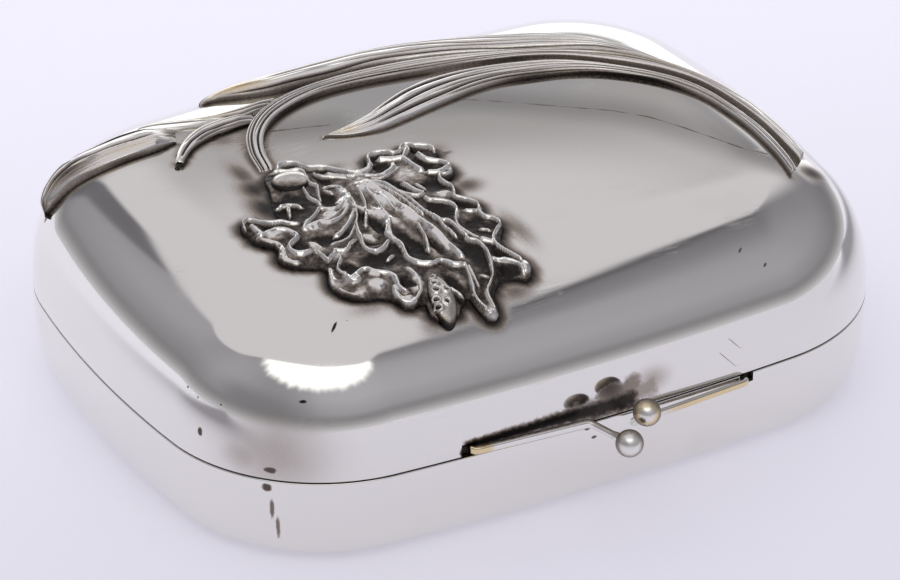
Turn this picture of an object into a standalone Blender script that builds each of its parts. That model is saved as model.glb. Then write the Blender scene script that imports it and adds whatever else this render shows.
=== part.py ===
"""Silver plated trinket box with a pillow-shaped body, a hinged lid that carries a plant in relief,
and a kiss-lock clasp: two sprung wire arms whose balls snap past each other.

The origin is the centre of the flat underside. The front, with the clasp, looks along -Y,
the hinge is at the back, and +Z is up. Lengths are in metres.
"""
import bpy
import bmesh
import math
from mathutils import Matrix, Vector

# Plan of the body at the seam: compass arcs, whose inset copies keep the same centres
BOX_LENGTH = 0.1500
BOX_WIDTH = 0.1176
LONG_SIDE_RADIUS = 0.585
SHORT_SIDE_RADIUS = 0.225
CORNER_RADIUS = 0.0335

# Upright profiles of base and lid
SEAM_HEIGHT = 0.0190
SEAM_GAP = 0.0003
BASE_TUCK = 0.0115
BASE_SQUARENESS = 3.5
LID_HEIGHT = 0.0260
LID_SHOULDER = 0.0270
LID_SQUARENESS = 2.5
DOME_HEIGHT = 0.0015
DOME_SPREAD_SHARE = 0.8
WALL = 0.0010
CLEARANCE = 0.0003

# Inner lip that the lid closes over, and the fabric inside
BEZEL_THICKNESS = 0.0008
BEZEL_DEPTH_SHARE = 0.368
BEZEL_RISE = 0.0028
LINING_THICKNESS = 0.0008
BASE_LINING_DEPTH_SHARE = 0.684
BASE_LINING_DROP = 0.0012
LID_LINING_START = 0.0040
LID_LINING_END_SHARE = 0.80
PAD_THICKNESS = 0.0034
PAD_CROWN = 0.0014
BASE_PAD_INSET = 0.0055
LID_PAD_INSET = 0.0190
PAD_DRAW_IN = 0.0035
PAD_RING_SHARES = [1.0, 0.88, 0.66, 0.36]

# Butt hinge outside the back wall
HINGE_LENGTH = 0.0340
HINGE_LEAF_HEIGHT = 0.0062
HINGE_LEAF_THICKNESS = 0.0007
WEB_SHAVE = 0.0001
KNUCKLE_RADIUS = 0.0016
KNUCKLE_COUNT = 5
PIN_RADIUS = 0.0007
PIN_HEAD_RADIUS = 0.0011
PIN_HEAD_LENGTH = 0.0006

# Kiss-lock clasp: places are along X, out from the wall and up from the seam
WIRE_WIDTH = 0.0014
WIRE_BEND_RADIUS = 0.0011
WIRE_WALL_GAP = 0.0005
BALL_RADIUS = 0.0026
BALL_SOCKET_DEPTH = 0.0013
NOTCH_SLACK = 0.0026
LID_ARM_ROOT_X = -0.0274
LID_ARM_RISE = 0.0017
LID_ARM_BEND_X = -0.0042
LID_ARM_BEND_OUT = 0.0017
LID_BALL_X = -0.0004
LID_BALL_OUT = 0.0102
LID_BALL_RISE = 0.0004
BASE_ARM_ROOT_X = 0.0310
BASE_ARM_DROP = 0.0010
BASE_ARM_BEND_X = 0.0047
BASE_ARM_BEND_OUT = 0.0036
BASE_BALL_X = 0.0050
BASE_BALL_OUT = 0.0072
BASE_BALL_RISE = 0.0038

# Relief on the lid
RELIEF_EDGE = 0.0006
STRAND_GAP = 0.0004
STEM_HEIGHT = 0.0022
UPPER_LEAF_HEIGHT = 0.0028
MIDDLE_LEAF_HEIGHT = 0.0020
TENDRIL_HEIGHT = 0.0011
BUD_HEIGHT = 0.0030
LEAF_HEIGHT = 0.0019
LEAF_FLOOR_SHARE = 0.12
LEAF_RIDGE_HALF_WIDTH = 0.0019
CUP_HEIGHT = 0.0024
POD_HEIGHT = 0.0020
RIPPLE_SHARE = 0.16
STRAND_START_SHARE = 0.08
STRAND_RISE_SHARE = 0.25

# Facets
SHORT_SIDE_STEPS = 4
CORNER_STEPS = 7
LONG_SIDE_STEPS = 5
LID_RINGS = 9
LID_TOP_SHARES = [0.72, 0.42, 0.16]
LID_LINING_RINGS = 5
BASE_RINGS = 7
ROUND_STEPS = 16
WIRE_STEPS = 8
PROFILE_STEPS = 240
SHARP_ANGLE = 35

HALF_LENGTH = BOX_LENGTH / 2
HALF_WIDTH = BOX_WIDTH / 2
LID_TOP = SEAM_HEIGHT + LID_HEIGHT
HINGE_Y = HALF_WIDTH + CLEARANCE + KNUCKLE_RADIUS

# Sections of each strand as shares of the half length and half width, measured over the lid
# as if it were rolled out flat: one edge of the strand, then the other
STEM_SECTION_SHARES = [
    ((-0.470, 0.155), (-0.427, 0.165)),
    ((-0.492, 0.255), (-0.435, 0.255)),
    ((-0.488, 0.345), (-0.424, 0.335)),
    ((-0.457, 0.440), (-0.393, 0.410)),
    ((-0.405, 0.525), (-0.333, 0.480)),
    ((-0.318, 0.595), (-0.245, 0.525)),
    ((-0.170, 0.632), (-0.140, 0.540)),
    ((-0.020, 0.635), (-0.010, 0.540)),
    ((0.135, 0.618), (0.140, 0.530)),
    ((0.300, 0.585), (0.280, 0.508)),
    ((0.440, 0.535), (0.410, 0.470)),
    ((0.560, 0.455), (0.520, 0.390)),
    ((0.665, 0.335), (0.620, 0.285)),
    ((0.738, 0.170), (0.690, 0.140)),
    ((0.783, 0.000), (0.738, -0.020)),
    ((0.802, -0.130), (0.766, -0.160)),
    ((0.828, -0.240), (0.780, -0.270)),
    ((0.832, -0.370), (0.782, -0.400)),
    ((0.818, -0.520), (0.768, -0.560)),
]
UPPER_LEAF_SECTION_SHARES = [
    ((-0.408, 0.772), (-0.400, 0.752)),
    ((-0.330, 0.805), (-0.310, 0.690)),
    ((-0.200, 0.835), (-0.190, 0.655)),
    ((-0.060, 0.842), (-0.050, 0.645)),
    ((0.070, 0.832), (0.065, 0.638)),
    ((0.200, 0.802), (0.190, 0.622)),
    ((0.330, 0.755), (0.310, 0.595)),
    ((0.460, 0.680), (0.440, 0.548)),
    ((0.590, 0.565), (0.562, 0.470)),
    ((0.700, 0.415), (0.672, 0.350)),
    ((0.780, 0.235), (0.748, 0.180)),
    ((0.825, 0.050), (0.793, 0.010)),
    ((0.843, -0.120), (0.812, -0.125)),
    ((0.840, -0.195), (0.826, -0.195)),
]
MIDDLE_LEAF_SECTION_SHARES = [
    ((-0.258, 0.285), (-0.254, 0.268)),
    ((-0.165, 0.310), (-0.160, 0.213)),
    ((-0.085, 0.335), (-0.070, 0.222)),
    ((-0.010, 0.400), (0.030, 0.248)),
    ((0.060, 0.463), (0.115, 0.280)),
    ((0.140, 0.505), (0.205, 0.298)),
    ((0.240, 0.500), (0.305, 0.320)),
    ((0.340, 0.478), (0.390, 0.295)),
    ((0.435, 0.430), (0.470, 0.288)),
    ((0.535, 0.350), (0.545, 0.240)),
    ((0.625, 0.240), (0.625, 0.140)),
    ((0.690, 0.095), (0.682, 0.020)),
    ((0.735, -0.060), (0.715, -0.125)),
    ((0.760, -0.205), (0.732, -0.270)),
    ((0.767, -0.380), (0.732, -0.430)),
    ((0.755, -0.560), (0.712, -0.610)),
]
LEFT_STEM_SECTION_SHARES = [
    ((-0.372, 0.592), (-0.412, 0.550)),
    ((-0.440, 0.606), (-0.447, 0.568)),
    ((-0.493, 0.620), (-0.493, 0.584)),
    ((-0.545, 0.650), (-0.540, 0.602)),
]
TENDRIL_SECTION_SHARES = [
    ((-0.432, 0.552), (-0.434, 0.522)),
    ((-0.488, 0.551), (-0.488, 0.514)),
    ((-0.550, 0.505), (-0.533, 0.473)),
    ((-0.600, 0.436), (-0.576, 0.415)),
    ((-0.643, 0.350), (-0.619, 0.340)),
]
BUD_SECTION_SHARES = [
    ((-0.560, 0.657), (-0.554, 0.600)),
    ((-0.625, 0.682), (-0.610, 0.495)),
    ((-0.705, 0.665), (-0.693, 0.463)),
    ((-0.785, 0.680), (-0.773, 0.487)),
    ((-0.852, 0.730), (-0.850, 0.524)),
    ((-0.912, 0.757), (-0.918, 0.545)),
    ((-0.950, 0.690), (-0.957, 0.585)),
]

# Rim of the leaf from its centre: angle in degrees from +X, and its reach as a share
LEAF_CENTRE_SHARES = (-0.2933, -0.374)
LEAF_SPAN_SHARES = (0.4133, 0.5272)
LEAF_RIM_SHARES = [
    (-85, 0.940), (-79, 0.860), (-73, 0.715), (-66, 0.745), (-58, 0.830), (-52, 0.850),
    (-46, 0.735), (-39, 0.610), (-28, 0.585), (-17, 0.590), (-9, 0.555), (-2, 0.520), (7, 0.555),
    (16, 0.525), (26, 0.545), (34, 0.650), (39, 0.770), (43, 0.800), (47, 0.850), (50, 0.975),
    (54, 0.985), (59, 0.965), (64, 0.905), (70, 0.915), (75, 0.870), (82, 0.735), (89, 0.755),
    (93, 0.860), (97, 0.985), (101, 1.040), (103.5, 0.930), (105.5, 0.760), (107.5, 0.600),
    (115, 0.490), (127, 0.545), (139, 0.590), (145, 0.790), (146, 0.905), (150, 0.885),
    (156, 0.800), (165, 0.660), (172, 0.770), (179, 0.745), (186, 0.590), (194, 0.600),
    (202, 0.690), (212, 0.725), (224, 0.690), (236, 0.680), (243, 0.725), (249, 0.640),
    (255, 0.480), (267, 0.500), (271, 0.760),
]
LEAF_RING_SHARES = [1.0, 0.94, 0.87, 0.80, 0.73, 0.66, 0.58, 0.50, 0.41, 0.31, 0.20, 0.08]
LEAF_SEAT_SHARES = [1.0, 0.85, 0.66, 0.42, 0.16]

# Crests of the leaf: its rib from stalk to tip, side ribs, and the curled rims of its lobes
LEAF_RIDGE_SHARES = [
    [(-0.453, 0.153), (-0.400, 0.170), (-0.347, 0.111), (-0.293, 0.044), (-0.247, 0.003),
     (-0.211, 0.051), (-0.168, 0.078), (-0.131, 0.051), (-0.093, 0.075), (-0.048, 0.020)],
    [(-0.320, 0.026), (-0.280, -0.034), (-0.247, -0.102), (-0.229, -0.204), (-0.220, -0.340),
     (-0.224, -0.476), (-0.229, -0.612), (-0.248, -0.731), (-0.248, -0.833)],
    [(-0.619, -0.088), (-0.577, -0.112), (-0.524, -0.156), (-0.480, -0.184), (-0.427, -0.143),
     (-0.381, -0.160), (-0.340, -0.111)],
    [(-0.287, -0.085), (-0.299, -0.187), (-0.320, -0.289), (-0.336, -0.374), (-0.333, -0.476),
     (-0.336, -0.544), (-0.293, -0.588), (-0.235, -0.619)],
    [(-0.613, -0.190), (-0.560, -0.187), (-0.541, -0.238), (-0.568, -0.298), (-0.541, -0.350),
     (-0.484, -0.388), (-0.413, -0.361), (-0.379, -0.289), (-0.347, -0.204)],
    [(-0.517, -0.451), (-0.513, -0.510), (-0.488, -0.548), (-0.445, -0.554), (-0.413, -0.612),
     (-0.413, -0.690), (-0.376, -0.663), (-0.365, -0.587)],
    [(-0.193, 0.037), (-0.141, 0.000), (-0.123, -0.068), (-0.107, -0.112), (-0.061, -0.109)],
    [(-0.061, -0.122), (-0.092, -0.170), (-0.091, -0.230), (-0.096, -0.281), (-0.076, -0.340),
     (-0.084, -0.408), (-0.075, -0.468), (-0.109, -0.553), (-0.115, -0.621), (-0.099, -0.697),
     (-0.112, -0.738)],
    [(-0.203, -0.350), (-0.171, -0.425), (-0.168, -0.519), (-0.160, -0.595), (-0.181, -0.680),
     (-0.224, -0.762)],
]

# Small oval pieces: centre, then half of the long way and half of the wide way
CUP_SHARES = ((-0.434, 0.080), (0.0453, 0.0), (0.0, 0.0578))
POD_SHARES = ((-0.343, -0.745), (0.0164, 0.0981), (-0.0339, 0.0092))
MOUND_ROUND_SHARE = 0.98
MOUND_RING_SHARES = [1.0, 0.86, 0.60, 0.28]


def corner_layout():
    """Centre of the corner arc, and the angles at which it meets the short and the long side."""
    long_centre = Vector((0, HALF_WIDTH - LONG_SIDE_RADIUS))
    short_centre = Vector((HALF_LENGTH - SHORT_SIDE_RADIUS, 0))
    long_reach = LONG_SIDE_RADIUS - CORNER_RADIUS
    short_reach = SHORT_SIDE_RADIUS - CORNER_RADIUS
    between = short_centre - long_centre
    span = between.length
    along = (long_reach ** 2 - short_reach ** 2 + span ** 2) / (2 * span)
    aside = math.sqrt(long_reach ** 2 - along ** 2)
    ahead = between.normalized()
    corner = long_centre + along * ahead + aside * Vector((ahead.y, -ahead.x))
    to_short = corner - short_centre
    to_long = corner - long_centre
    return (short_centre, corner, long_centre,
            math.atan2(to_short.y, to_short.x), math.atan2(to_long.y, to_long.x))


SHORT_CENTRE, CORNER_CENTRE, LONG_CENTRE, SHORT_END, LONG_END = corner_layout()


def quarter_stations():
    """Arc centre, radius and direction of each outline point from +X round to +Y."""
    stations = []
    arcs = [
        (SHORT_CENTRE, SHORT_SIDE_RADIUS, 0, SHORT_END, SHORT_SIDE_STEPS),
        (CORNER_CENTRE, CORNER_RADIUS, SHORT_END, LONG_END, CORNER_STEPS),
        (LONG_CENTRE, LONG_SIDE_RADIUS, LONG_END, math.pi / 2, LONG_SIDE_STEPS),
    ]
    for centre, radius, start, end, steps in arcs:
        for step in range(steps):
            angle = start + (end - start) * step / steps
            stations.append((centre, radius, Vector((math.cos(angle), math.sin(angle)))))
    stations.append((LONG_CENTRE, LONG_SIDE_RADIUS, Vector((0, 1))))
    return stations


def all_stations():
    """The quarter, mirrored to the whole outline, anticlockwise from +X."""
    quarter = quarter_stations()
    stations = []
    for flip_x, flip_y in [(1, 1), (-1, 1), (-1, -1), (1, -1)]:
        part = [(Vector((centre.x * flip_x, centre.y * flip_y)), radius,
                 Vector((way.x * flip_x, way.y * flip_y))) for centre, radius, way in quarter]
        if flip_x * flip_y < 0:
            part.reverse()
        stations.extend(part[:-1])
    return stations


STATIONS = all_stations()


def dome(x, y):
    """Extra height of the lid's gently domed top."""
    spread = ((x / (DOME_SPREAD_SHARE * HALF_LENGTH)) ** 2
              + (y / (DOME_SPREAD_SHARE * HALF_WIDTH)) ** 2)
    return DOME_HEIGHT * max(0, 1 - spread) ** 2


def ring(inset, height, domed=False):
    """Outline drawn in by inset at a height; the lid's rings follow its dome."""
    points = []
    for centre, radius, way in STATIONS:
        place = centre + (radius - inset) * way
        lift = dome(place.x, place.y) if domed else 0
        points.append(Vector((place.x, place.y, height + lift)))
    return points


def super_profile(turn, reach, height, squareness):
    """Point of a squared-off quarter ellipse at a turn from its foot, and its outward normal."""
    along = reach * math.cos(turn) ** (2 / squareness)
    up = height * math.sin(turn) ** (2 / squareness)
    normal = Vector(((along / reach) ** (squareness - 1) / reach,
                     (up / height) ** (squareness - 1) / height)).normalized()
    return along, up, normal


def lid_ring(turn, depth):
    """Ring of the lid's side, depth inside its outer skin."""
    along, up, normal = super_profile(turn, LID_SHOULDER, LID_HEIGHT, LID_SQUARENESS)
    out = along - depth * normal.x
    rise = max(up - depth * normal.y, SEAM_GAP / 2)
    return ring(LID_SHOULDER - out, SEAM_HEIGHT + rise, domed=True)


def base_ring(turn, depth):
    """Ring of the base's side, depth inside its outer skin; turn runs from the seam down."""
    along, down, normal = super_profile(turn, BASE_TUCK, SEAM_HEIGHT, BASE_SQUARENESS)
    out = along - depth * normal.x
    drop = max(down - depth * normal.y, SEAM_GAP / 2)
    return ring(BASE_TUCK - out, SEAM_HEIGHT - drop)


def turns(count, start=0.0, end=1.0):
    """Even steps of a quarter turn between two shares of it."""
    return [math.pi / 2 * (start + (end - start) * step / count) for step in range(count + 1)]


def material(name, colour, roughness, metallic):
    made = bpy.data.materials.new(name)
    made.use_nodes = True
    shader = made.node_tree.nodes["Principled BSDF"]
    shader.inputs["Base Color"].default_value = (*colour, 1)
    shader.inputs["Roughness"].default_value = roughness
    shader.inputs["Metallic"].default_value = metallic
    made.diffuse_color = (*colour, 1)
    return made


def add_object(name, mesh, look, pivot=None):
    """Object from a mesh in world places; it hangs on its pivot, an empty on a joint's axis."""
    made = bpy.data.objects.new(name, mesh)
    bpy.context.scene.collection.objects.link(made)
    mesh.materials.append(look)
    mesh.shade_smooth()
    mesh.set_sharp_from_angle(angle=math.radians(SHARP_ANGLE))
    if pivot:
        mesh.transform(Matrix.Translation(-pivot.location))
        made.parent = pivot
    return made


def skin_mesh(name, rings, closed=False):
    """Closed mesh over a row of rings: capped at both ends, or joined end to start."""
    mesh = bmesh.new()
    rows = [[mesh.verts.new(point) for point in points] for points in rings]
    pairs = list(zip(rows, rows[1:]))
    if closed:
        pairs.append((rows[-1], rows[0]))
    for lower, upper in pairs:
        for near in range(len(lower)):
            far = (near + 1) % len(lower)
            mesh.faces.new((lower[near], lower[far], upper[far], upper[near]))
    if not closed:
        for cap in (rows[0], rows[-1]):
            face = mesh.faces.new(cap)
            bmesh.ops.poke(mesh, faces=[face])
    bmesh.ops.recalc_face_normals(mesh, faces=mesh.faces)
    made = bpy.data.meshes.new(name)
    mesh.to_mesh(made)
    mesh.free()
    return made


def cutter(name, mesh):
    """Object that only cuts or joins others."""
    tool = bpy.data.objects.new(name, mesh)
    bpy.context.scene.collection.objects.link(tool)
    tool.hide_render = True
    tool.display_type = 'WIRE'
    return tool


def box_cutter(name, low, high):
    """Box between two corners, to cut with."""
    corners = [Vector((x, y, low.z)) for x, y in
               ((low.x, low.y), (high.x, low.y), (high.x, high.y), (low.x, high.y))]
    lifted = [Vector((corner.x, corner.y, high.z)) for corner in corners]
    return cutter(name, skin_mesh(name, [corners, lifted]))


def rod_mesh(name, start, end, radius):
    """Round rod between two points."""
    way = (end - start).normalized()
    side = way.orthogonal().normalized()
    other = way.cross(side)
    rows = []
    for place in (start, end):
        rows.append([place + radius * (math.cos(turn) * side + math.sin(turn) * other)
                     for turn in round_turns()])
    return skin_mesh(name, rows)


def round_turns(steps=ROUND_STEPS):
    return [2 * math.pi * step / steps for step in range(steps)]


def rod_cutter(name, start, end, radius):
    return cutter(name, rod_mesh(name, start, end, radius))


def combine(target, tool, operation):
    """Boolean of a target with a tool that hangs on the same pivot."""
    if target.parent:
        tool.data.transform(Matrix.Translation(-target.parent.location))
        tool.parent = target.parent
    step = target.modifiers.new(operation.lower(), 'BOOLEAN')
    step.operation = operation
    step.solver = 'EXACT'
    step.object = tool


def back_wall(x, inset=0.0):
    """Y of the back wall at the seam; the front wall is its mirror image."""
    reach = LONG_SIDE_RADIUS - inset
    return LONG_CENTRE.y + math.sqrt(reach ** 2 - x ** 2)


# Base

def base_shell(silver):
    """Thin dish with tucked-in sides and a flat underside."""
    outer = [base_ring(turn, 0) for turn in turns(BASE_RINGS)]
    inner = [base_ring(turn, WALL) for turn in turns(BASE_RINGS)]
    shell = add_object("base_shell", skin_mesh("base_shell", inner[::-1] + outer), silver)
    low = Vector((BASE_ARM_ROOT_X - WIRE_WIDTH / 2 - CLEARANCE, -HALF_WIDTH - WALL,
                  SEAM_HEIGHT - BASE_ARM_DROP - WIRE_WIDTH / 2 - CLEARANCE))
    high = Vector((BASE_ARM_ROOT_X + WIRE_WIDTH / 2 + NOTCH_SLACK,
                   -back_wall(BASE_ARM_ROOT_X, 2 * WALL), SEAM_HEIGHT + WALL))
    combine(shell, box_cutter("base_notch", low, high), 'DIFFERENCE')


def band(low_inset, low_height, high_inset, high_height, thickness):
    """Four rings of an upright band of a thickness, for a mesh that closes on itself."""
    return [ring(low_inset, low_height), ring(high_inset, high_height),
            ring(high_inset + thickness, high_height), ring(low_inset + thickness, low_height)]


def base_bezel(silver):
    """Inner lip that stands above the seam and guides the lid."""
    inset = WALL + CLEARANCE
    foot = SEAM_HEIGHT * (1 - BEZEL_DEPTH_SHARE)
    rings = band(inset, foot, inset, SEAM_HEIGHT + BEZEL_RISE, BEZEL_THICKNESS)
    add_object("base_bezel", skin_mesh("base_bezel", rings, closed=True), silver)


def base_lining_band(fabric):
    """Fabric round the inside of the dish, behind the lip."""
    inset = WALL + BEZEL_THICKNESS + 2 * CLEARANCE
    foot = SEAM_HEIGHT * (1 - BASE_LINING_DEPTH_SHARE)
    rings = band(inset, foot, inset, SEAM_HEIGHT - BASE_LINING_DROP, LINING_THICKNESS)
    add_object("base_lining_band", skin_mesh("base_lining_band", rings, closed=True), fabric)


def pad_rings(inset, height, way):
    """Rings of a crowned pad with drawn-in sides, from its flat back outwards."""
    widest = ring(inset, height + way * PAD_THICKNESS / 2)
    edge = ring(inset + PAD_DRAW_IN / 3, height + way * PAD_THICKNESS)
    crown = []
    for share in PAD_RING_SHARES:
        lift = PAD_CROWN * (1 - share ** 2)
        crown.append([Vector((share * point.x, share * point.y,
                              height + way * (PAD_THICKNESS + lift))) for point in edge])
    back = ring(inset + PAD_DRAW_IN, height)
    return [back, widest] + crown


def base_floor_pad(fabric):
    rings = pad_rings(BASE_PAD_INSET, WALL + CLEARANCE, 1)
    add_object("base_floor_pad", skin_mesh("base_floor_pad", rings), fabric)


# Lid

def lid_shell(silver, pivot):
    """Pillow-shaped cover with a soft shoulder and a low dome."""
    outer = [lid_ring(turn, 0) for turn in turns(LID_RINGS)]
    inner = [lid_ring(turn, WALL) for turn in turns(LID_RINGS)]
    for rings, depth in ((outer, 0), (inner, WALL)):
        edge = rings[-1]
        for share in LID_TOP_SHARES:
            rings.append([Vector((share * p.x, share * p.y,
                                  LID_TOP - depth + dome(share * p.x, share * p.y))) for p in edge])
    shell = add_object("lid_shell", skin_mesh("lid_shell", inner[::-1] + outer), silver, pivot)
    low = Vector((LID_ARM_ROOT_X - WIRE_WIDTH / 2 - NOTCH_SLACK, -HALF_WIDTH - WALL,
                  SEAM_HEIGHT - WALL))
    high = Vector((LID_ARM_ROOT_X + WIRE_WIDTH / 2 + CLEARANCE,
                   -back_wall(LID_ARM_ROOT_X, 2 * WALL),
                   SEAM_HEIGHT + LID_ARM_RISE + WIRE_WIDTH / 2 + CLEARANCE))
    combine(shell, box_cutter("lid_notch", low, high), 'DIFFERENCE')


def lid_lining_band(fabric, pivot):
    """Fabric round the inside of the lid's shoulder."""
    start = math.asin((LID_LINING_START / LID_HEIGHT) ** (LID_SQUARENESS / 2)) / (math.pi / 2)
    steps = turns(LID_LINING_RINGS, start, LID_LINING_END_SHARE)
    near = [lid_ring(turn, WALL + CLEARANCE) for turn in steps]
    far = [lid_ring(turn, WALL + CLEARANCE + LINING_THICKNESS) for turn in steps]
    mesh = skin_mesh("lid_lining_band", near + far[::-1], closed=True)
    add_object("lid_lining_band", mesh, fabric, pivot)


def lid_pad(fabric, pivot):
    rings = pad_rings(LID_PAD_INSET, LID_TOP - WALL - CLEARANCE, -1)
    add_object("lid_pad", skin_mesh("lid_pad", rings), fabric, pivot)


# Hinge

def wall_plate(name, start, end, low, high, shave=0.0):
    """Thin plate along the curve of the back wall, between two places along X and two heights."""
    rows = []
    for step in range(KNUCKLE_COUNT + 1):
        x = start + (end - start) * step / KNUCKLE_COUNT
        near = back_wall(x) + CLEARANCE + shave
        far = near + HINGE_LEAF_THICKNESS - 2 * shave
        rows.append([Vector((x, near, low)), Vector((x, far, low)),
                     Vector((x, far, high)), Vector((x, near, high))])
    return skin_mesh(name, rows)


def hinge_leaf(name, side, silver, pivot):
    """Leaf of the hinge with every other knuckle; side is -1 for the base and 1 for the lid."""
    reach = KNUCKLE_RADIUS + CLEARANCE
    ends = sorted((SEAM_HEIGHT + side * reach, SEAM_HEIGHT + side * HINGE_LEAF_HEIGHT))
    plate = wall_plate(name, -HINGE_LENGTH / 2, HINGE_LENGTH / 2, *ends)
    leaf = add_object(name, plate, silver, pivot)
    pitch = HINGE_LENGTH / KNUCKLE_COUNT
    first = 0 if side < 0 else 1
    for knuckle in range(first, KNUCKLE_COUNT, 2):
        start = -HINGE_LENGTH / 2 + knuckle * pitch + CLEARANCE / 2
        end = start + pitch - CLEARANCE
        tag = f"{name}_{knuckle}"
        neck = sorted((SEAM_HEIGHT + side * CLEARANCE,
                       SEAM_HEIGHT + side * (reach + HINGE_LEAF_THICKNESS)))
        web_mesh = wall_plate(f"{tag}_web", start + WEB_SHAVE, end - WEB_SHAVE, *neck, WEB_SHAVE)
        web = cutter(f"{tag}_web", web_mesh)
        tube = rod_cutter(f"{tag}_tube", Vector((start, HINGE_Y, SEAM_HEIGHT)),
                          Vector((end, HINGE_Y, SEAM_HEIGHT)), KNUCKLE_RADIUS)
        combine(leaf, web, 'UNION')
        combine(leaf, tube, 'UNION')
    bore = rod_cutter(f"{name}_bore", Vector((-HINGE_LENGTH, HINGE_Y, SEAM_HEIGHT)),
                      Vector((HINGE_LENGTH, HINGE_Y, SEAM_HEIGHT)), PIN_RADIUS + CLEARANCE)
    combine(leaf, bore, 'DIFFERENCE')


def hinge_pin(steel):
    """Pin through the knuckles, with a small head past each end."""
    inner = HINGE_LENGTH / 2 + CLEARANCE
    outer = inner + PIN_HEAD_LENGTH
    stations = [(-outer, PIN_HEAD_RADIUS), (-inner, PIN_HEAD_RADIUS), (-inner, PIN_RADIUS),
                (inner, PIN_RADIUS), (inner, PIN_HEAD_RADIUS), (outer, PIN_HEAD_RADIUS)]
    rows = [[Vector((x, HINGE_Y + radius * math.cos(turn), SEAM_HEIGHT + radius * math.sin(turn)))
             for turn in round_turns()] for x, radius in stations]
    add_object("hinge_pin", skin_mesh("hinge_pin", rows), steel)


# Clasp

def bent_path(points, radius, steps=4):
    """Path through corner points, with each inner corner rounded."""
    path = [points[0]]
    for before, corner, after in zip(points, points[1:], points[2:]):
        back = (before - corner).normalized() * radius
        ahead = (after - corner).normalized() * radius
        for step in range(steps + 1):
            share = step / steps
            path.append(corner + (1 - share) ** 2 * back + share ** 2 * ahead)
    path.append(points[-1])
    return path


def wire_mesh(name, path, round_from):
    """Wire swept along a path: square at first, and drawn round from a point of the path on."""
    rows = []
    for index, place in enumerate(path):
        before = path[max(index - 1, 0)]
        after = path[min(index + 1, len(path) - 1)]
        way = (after - before).normalized()
        side = way.cross(Vector((0, 0, 1))).normalized()
        up = side.cross(way)
        row = []
        for turn in round_turns(WIRE_STEPS):
            across, rise = math.cos(turn), math.sin(turn)
            if index < round_from:
                across = max(-1, min(1, across * math.sqrt(2)))
                rise = max(-1, min(1, rise * math.sqrt(2)))
            row.append(place + WIRE_WIDTH / 2 * (across * side + rise * up))
        rows.append(row)
    return skin_mesh(name, rows)


def clasp_arm(name, root_x, level, bend, ball, silver, pivot):
    """Square wire that leaves its notch, runs along the wall and turns out to its ball."""
    wall = -back_wall(root_x)
    inner = Vector((root_x, wall + WALL - CLEARANCE, level))
    outer = Vector((root_x, wall - WIRE_WALL_GAP - WIRE_WIDTH / 2, level))
    into = (ball - bend).normalized()
    end = ball - into * (BALL_RADIUS - BALL_SOCKET_DEPTH + CLEARANCE)
    path = bent_path([inner, outer, bend, end], WIRE_BEND_RADIUS)
    add_object(name, wire_mesh(name, path, len(path) - 3), silver, pivot)


def clasp_ball(name, centre, bend, gilt, pivot):
    """Ball with a blind socket for the end of its wire."""
    rows = []
    steps = ROUND_STEPS // 2
    for step in range(1, steps):
        tilt = math.pi * step / steps
        rows.append([centre + BALL_RADIUS * Vector((math.sin(tilt) * math.cos(turn),
                                                    math.sin(tilt) * math.sin(turn),
                                                    math.cos(tilt))) for turn in round_turns()])
    mesh = skin_mesh(name, rows)
    for pole in mesh.vertices[-2:]:
        pole.co = centre + BALL_RADIUS * (pole.co - centre).normalized()
    ball = add_object(name, mesh, gilt, pivot)
    into = (centre - bend).normalized()
    socket = rod_cutter(f"{name}_socket", centre - 2 * BALL_RADIUS * into,
                        centre - (BALL_RADIUS - BALL_SOCKET_DEPTH) * into,
                        WIRE_WIDTH / 2 + CLEARANCE)
    combine(ball, socket, 'DIFFERENCE')


# Relief

def profile_table():
    """Arc length, outset and height along the lid's profile, from the plateau's edge outwards."""
    table = [(0.0, 0.0, LID_HEIGHT)]
    for turn in reversed(turns(PROFILE_STEPS)[:-1]):
        along, up, _ = super_profile(turn, LID_SHOULDER, LID_HEIGHT, LID_SQUARENESS)
        length, last_along, last_up = table[-1]
        table.append((length + math.hypot(along - last_along, up - last_up), along, up))
    return table


PROFILE = profile_table()


def profile_at(length):
    """Outset, height and normal of the lid's profile at an arc length from the plateau's edge."""
    for near, far in zip(PROFILE, PROFILE[1:]):
        if length <= far[0]:
            break
    share = (length - near[0]) / (far[0] - near[0])
    along = near[1] + share * (far[1] - near[1])
    up = near[2] + share * (far[2] - near[2])
    normal = Vector(((along / LID_SHOULDER) ** (LID_SQUARENESS - 1) / LID_SHOULDER,
                     (up / LID_HEIGHT) ** (LID_SQUARENESS - 1) / LID_HEIGHT)).normalized()
    return along, up, normal


def outline_foot(x, y):
    """Inset of a plan point from the seam outline, and the outward direction there."""
    flip_x = -1 if x < 0 else 1
    flip_y = -1 if y < 0 else 1
    place = Vector((abs(x), abs(y)))
    from_long = place - LONG_CENTRE
    from_short = place - SHORT_CENTRE
    if math.atan2(from_long.y, from_long.x) >= LONG_END:
        reach, radius = from_long, LONG_SIDE_RADIUS
    elif math.atan2(from_short.y, from_short.x) <= SHORT_END:
        reach, radius = from_short, SHORT_SIDE_RADIUS
    else:
        reach, radius = place - CORNER_CENTRE, CORNER_RADIUS
    way = reach.normalized()
    return radius - reach.length, Vector((way.x * flip_x, way.y * flip_y))


def on_lid(place, height):
    """World point over the lid at a place of the rolled-out plan, height above the skin."""
    inset, way = outline_foot(place.x, place.y)
    if inset >= LID_SHOULDER:
        return Vector((place.x, place.y, LID_TOP + dome(place.x, place.y) + height))
    length = LID_SHOULDER - inset
    along, up, normal = profile_at(length)
    foot = place - way * (length - along)
    rise = SEAM_HEIGHT + up + dome(foot.x, foot.y) + height * normal.y
    spot = foot + way * height * normal.x
    return Vector((spot.x, spot.y, rise))


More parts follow.
